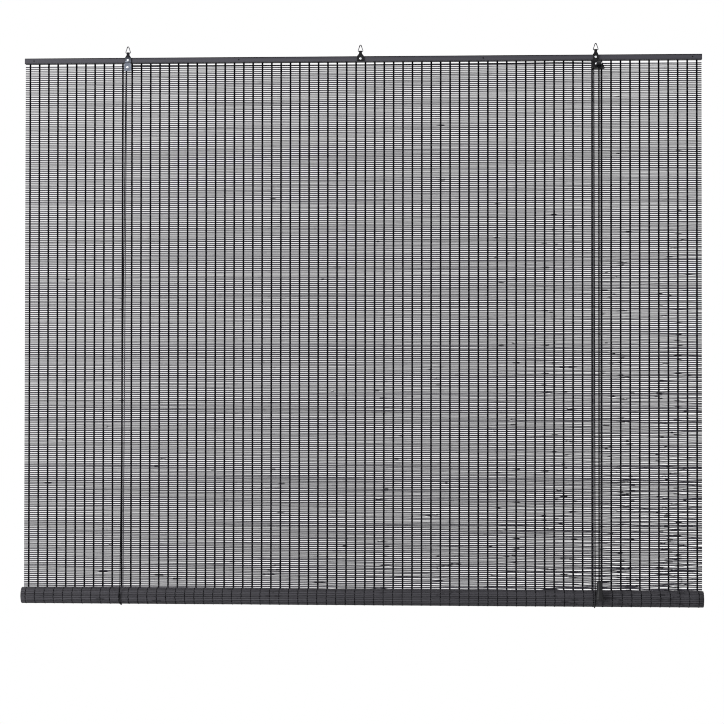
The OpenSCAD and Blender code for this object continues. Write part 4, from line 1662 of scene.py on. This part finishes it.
@dataclass
class Pull:
    """The two pull cords that hang from the lip of the lock, and the turned tassel on them."""

    finishes: Finishes
    cords: Cords
    centre: tuple[float, float]
    top_z: float
    bottom_z: float
    radius: float = 12 * MM
    hole_r: float = 2.8 * MM
    cavity_r: float = 6.5 * MM
    cavity_h: float = 14.4 * MM
    rim: float = 0.8 * MM
    foot_rim: float = 0.6 * MM
    knot_z: float = -1410.3 * MM
    knot_drop: float = 5.6 * MM
    straight_z: float = -1365 * MM
    outline_shares: tuple[tuple[float, float], ...] = (
        (0.42, 1.0), (0.5, 0.985), (0.52, 0.95), (0.49, 0.925), (0.47, 0.9), (0.49, 0.87),
        (0.51, 0.85), (0.56, 0.7), (0.65, 0.52), (0.77, 0.34), (0.86, 0.22), (0.9, 0.2),
        (0.9, 0.175), (0.88, 0.16), (0.95, 0.12), (1.0, 0.05), (0.99, 0.02), (0.95, 0.0),
    )

    def build(self) -> None:
        """Makes the tassel, its knot and the two cords."""
        tassel = self.finishes.fit(self.tassel(), Slot.TASSEL, Body.TASSEL, "tassel")
        foot = (*self.centre, self.knot_z - self.knot_drop)
        route = barrel_knot(foot, radius=3.2 * MM, rise=2.3 * MM, turns=2.6)
        tube = CordTube("tassel_cord_knot", route, self.cords.radius, step=1.2 * MM)
        knot = self.finishes.fit(tube.piece, Slot.CORD, Body.TASSEL, "tassel_knot")
        for cord, carried in enumerate((tassel, knot)):
            self.cord(cord, carried)

    def tassel(self) -> Object:
        """Turns the tassel: a bell with two grooves, a cord hole and a hollow foot.

        Returns:
            The piece.
        """
        low, high = self.bottom_z, self.top_z
        outer = [(self.radius * r, low + (high - low) * z) for r, z in self.outline_shares]
        inner = [
            (self.cavity_r + self.foot_rim, low),
            (self.cavity_r, low + self.rim),
            (self.cavity_r, low + self.cavity_h),
            (self.hole_r, low + self.cavity_h),
            (self.hole_r, high - self.rim),
            (self.hole_r + self.rim, high),
        ]
        return turned("tassel_bell", outer + inner, self.centre)

    def cord(self, number: int, carried: Object) -> None:
        """Hangs one pull cord from the lip of the lock to the tassel's knot.

        Args:
            number: Its number, from nought.
            carried: The piece on it; not used.
        """
        cords, node = self.cords, f"pull_cord_{'ab'[number]}"
        lip_y, lip_z = cords.lip
        lip_x = cords.hanger_x + cords.lock_sides[number]
        exit_point = (lip_x, lip_y - cords.lip_turn_r, lip_z)
        end_x, end_y = cords.hanger_x + cords.tassel_sides[number], self.centre[1]
        end_point = (end_x, end_y, self.straight_z)
        route = [exit_point, end_point, (end_x, end_y, self.knot_z)]
        tube = CordTube(f"{node}_braid", route, cords.radius, step=20 * MM)
        piece = self.finishes.fit(tube.piece, Slot.CORD, None, node)
        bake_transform(piece)


@dataclass
class WireRing:
    """A ring bent from wire to a triangle: straight base, two corners, two sides and a tip."""

    finishes: Finishes
    side: str
    body: Body
    x: float
    fold: tuple[float, float] = (-21.64 * MM, 19 * MM)
    wire_r: float = 1.1 * MM
    wire_sides: int = 14
    half_w: float = 4.05 * MM
    corner_r: float = 2.2 * MM
    tip_r: float = 2.0 * MM
    rise: float = 16.9 * MM
    corner_steps: int = 9
    tip_steps: int = 14
    weld: float = 2e-6

    def build(self) -> None:
        """Bends the wire round its outline, step by step."""
        y, z = self.fold
        climb = self.rise - self.corner_r - self.tip_r
        span = math.hypot(self.half_w, climb)
        narrower = self.corner_r - self.tip_r
        lean = math.atan2(climb, -self.half_w) - math.acos(narrower / span)
        length = math.sqrt(span**2 - narrower**2)
        Bench.pick()
        bpy.ops.mesh.primitive_circle_add(
            vertices=self.wire_sides, radius=self.wire_r, fill_type="NOTHING",
            location=(self.x, y, z), rotation=(0, math.pi / 2, 0),
        )
        piece = Bench.settle(f"{self.side}_wire_ring")
        Bench.open()
        half_base = (self.half_w, 0, 0)
        corner_z = z + self.corner_r
        inward, climbed = -length * math.sin(lean), length * math.cos(lean)
        self.straight(half_base)
        self.bend((self.x + self.half_w, y, corner_z), math.pi / 2 + lean, self.corner_steps)
        self.straight((inward, 0, climbed))
        self.bend((self.x, y, corner_z + climb), math.pi - 2 * lean, self.tip_steps)
        self.straight((inward, 0, -climbed))
        self.bend((self.x - self.half_w, y, corner_z), math.pi / 2 + lean, self.corner_steps)
        self.straight(half_base)
        Bench.close()
        Bench.clean(piece, self.weld)
        Bench.smooth(piece)
        wire = self.finishes.apex_shaded_ring_wire
        self.finishes.fit(piece, Slot.BRIGHT, self.body, f"{self.side}_ring", material=wire)

    @staticmethod
    def straight(step: Point) -> None:
        """Draws the wire on along a straight line."""
        bpy.ops.mesh.extrude_region_move(TRANSFORM_OT_translate={"value": step})

    @staticmethod
    def bend(centre: Point, angle: float, steps: int) -> None:
        """Bends the wire on round a centre, anticlockwise as seen from the room."""
        bpy.ops.mesh.spin(steps=steps, angle=angle, center=centre, axis=(0, 1, 0))


@dataclass
class Hardware:
    """Headrail strips and fittings: softened copies of the solids, with edges rounded as made."""

    finishes: Finishes
    edges_mm: tuple[tuple[str, float], ...] = (
        ("headrail_front_rail", 0.9), ("headrail_back_strip", 0.7), ("left_bracket", 0.22),
        ("centre_hanger", 0.22), ("right_bracket", 0.22), ("left_bracket_screw", 0.45),
        ("centre_hanger_screw", 0.45), ("right_bracket_screw", 0.45), ("left_pulley_rivet", 0.4),
        ("right_pulley_rivet", 0.4), ("left_pulley", 0.3), ("right_back_pulley", 0.3),
        ("right_front_pulley", 0.3), ("lock_cam", 0.2), ("lock_cam_pin", 0.3),
        ("headrail_nails", 0.35), ("bottom_pole", 0.8),
    )

    def build(
        self, nodes: dict[str, Object], slots: dict[str, Slot], bodies: dict[str, Body]
    ) -> None:
        """Makes the softened copies and dresses them.

        Args:
            nodes: Object of each node.
            slots: Material slot of each node.
            bodies: Body of each node.
        """
        for node, width_mm in self.edges_mm:
            piece = self.softened(f"{node}_soft", nodes[node], width_mm * MM)
            self.finishes.fit(piece, slots[node], bodies[node], node)

    @staticmethod
    def softened(name: str, source: Object, width: float) -> Object:
        """Copies a node's mesh and rounds its edges.

        Args:
            name: Name of the copy.
            source: Object of the node.
            width: Width of the rounding.

        Returns:
            The copy.
        """
        piece = Bench.link(name, source.data.copy())
        Bench.clean(piece)
        Bench.open()
        bpy.ops.mesh.dissolve_limited(angle_limit=FLAT_ANGLE)
        Bench.close()
        Bench.smooth(piece)
        bevel = piece.modifiers.new("bevel", "BEVEL")
        bevel.width = width
        bevel.segments = 2
        bevel.limit_method = "ANGLE"
        bevel.angle_limit = SMOOTH_ANGLE
        bevel.harden_normals = True
        bpy.ops.object.modifier_apply(modifier=bevel.name)
        return piece


def middle(box: Sequence[Sequence[float]]) -> Point:
    """Middle of a box between two corners."""
    return tuple((low + high) / 2 for low, high in zip(*box))


def main() -> None:
    """Builds the blind's pieces in order and reports each one."""
    logging.basicConfig(level=logging.INFO, format="%(message)s")
    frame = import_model()
    PhotoCamera().build()
    finishes = Finishes()
    finishes.build()

    record = frame["record"]
    slots = {entry["node"]: Slot(entry["material_slot"]) for entry in record["subparts"]}
    groups = record["behaviour"]["bodies"].items()
    bodies = {node: Body(body) for body, nodes in groups for node in nodes}
    rail_low, rail_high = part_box("headrail_front_rail")
    mat_low, mat_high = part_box("mat")
    axis = middle(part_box("bottom_pole"))[1:]
    sling_r = axis[0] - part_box("left_cord_sling")[0][1] - Cords.radius
    joints = {joint["name"]: joint for joint in frame["joints"]}
    lift = joints["roll_lift"]["range_m"][1]
    keep = 1 - lift / (rail_low[2] - mat_low[2])

    cords = Cords(finishes, middle(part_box("right_ring"))[0], rail_high[2])
    cords.build(axis, sling_r, mat_low[2], lift)
    tassel_low, tassel_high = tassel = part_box("tassel")
    Pull(finishes, cords, middle(tassel)[:2], tassel_high[2], tassel_low[2]).build()
    weave = Weave(Vector(mat_low), Vector(mat_high))
    blank = SlatBlank(weave.base_stations + len(weave.node_steps) * weave.nodes)
    Mat(finishes, weave, blank, rail_low[2], keep).build()
    Roll(finishes, weave, blank, *axis, mat_high[1] - axis[0]).build()
    Hardware(finishes).build(frame["nodes"], slots, bodies)
    for side, body, x in (
        ("left", Body.LEFT_RING, -cords.hanger_x),
        ("centre", Body.CENTRE_RING, 0),
        ("right", Body.RIGHT_RING, cords.hanger_x),
    ):
        WireRing(finishes, side, body, x).build()
    for name, node in frame["nodes"].items():
        finishes.repaint(node, slots[name])

    Studio().build()


if __name__ == "__main__":
    main()
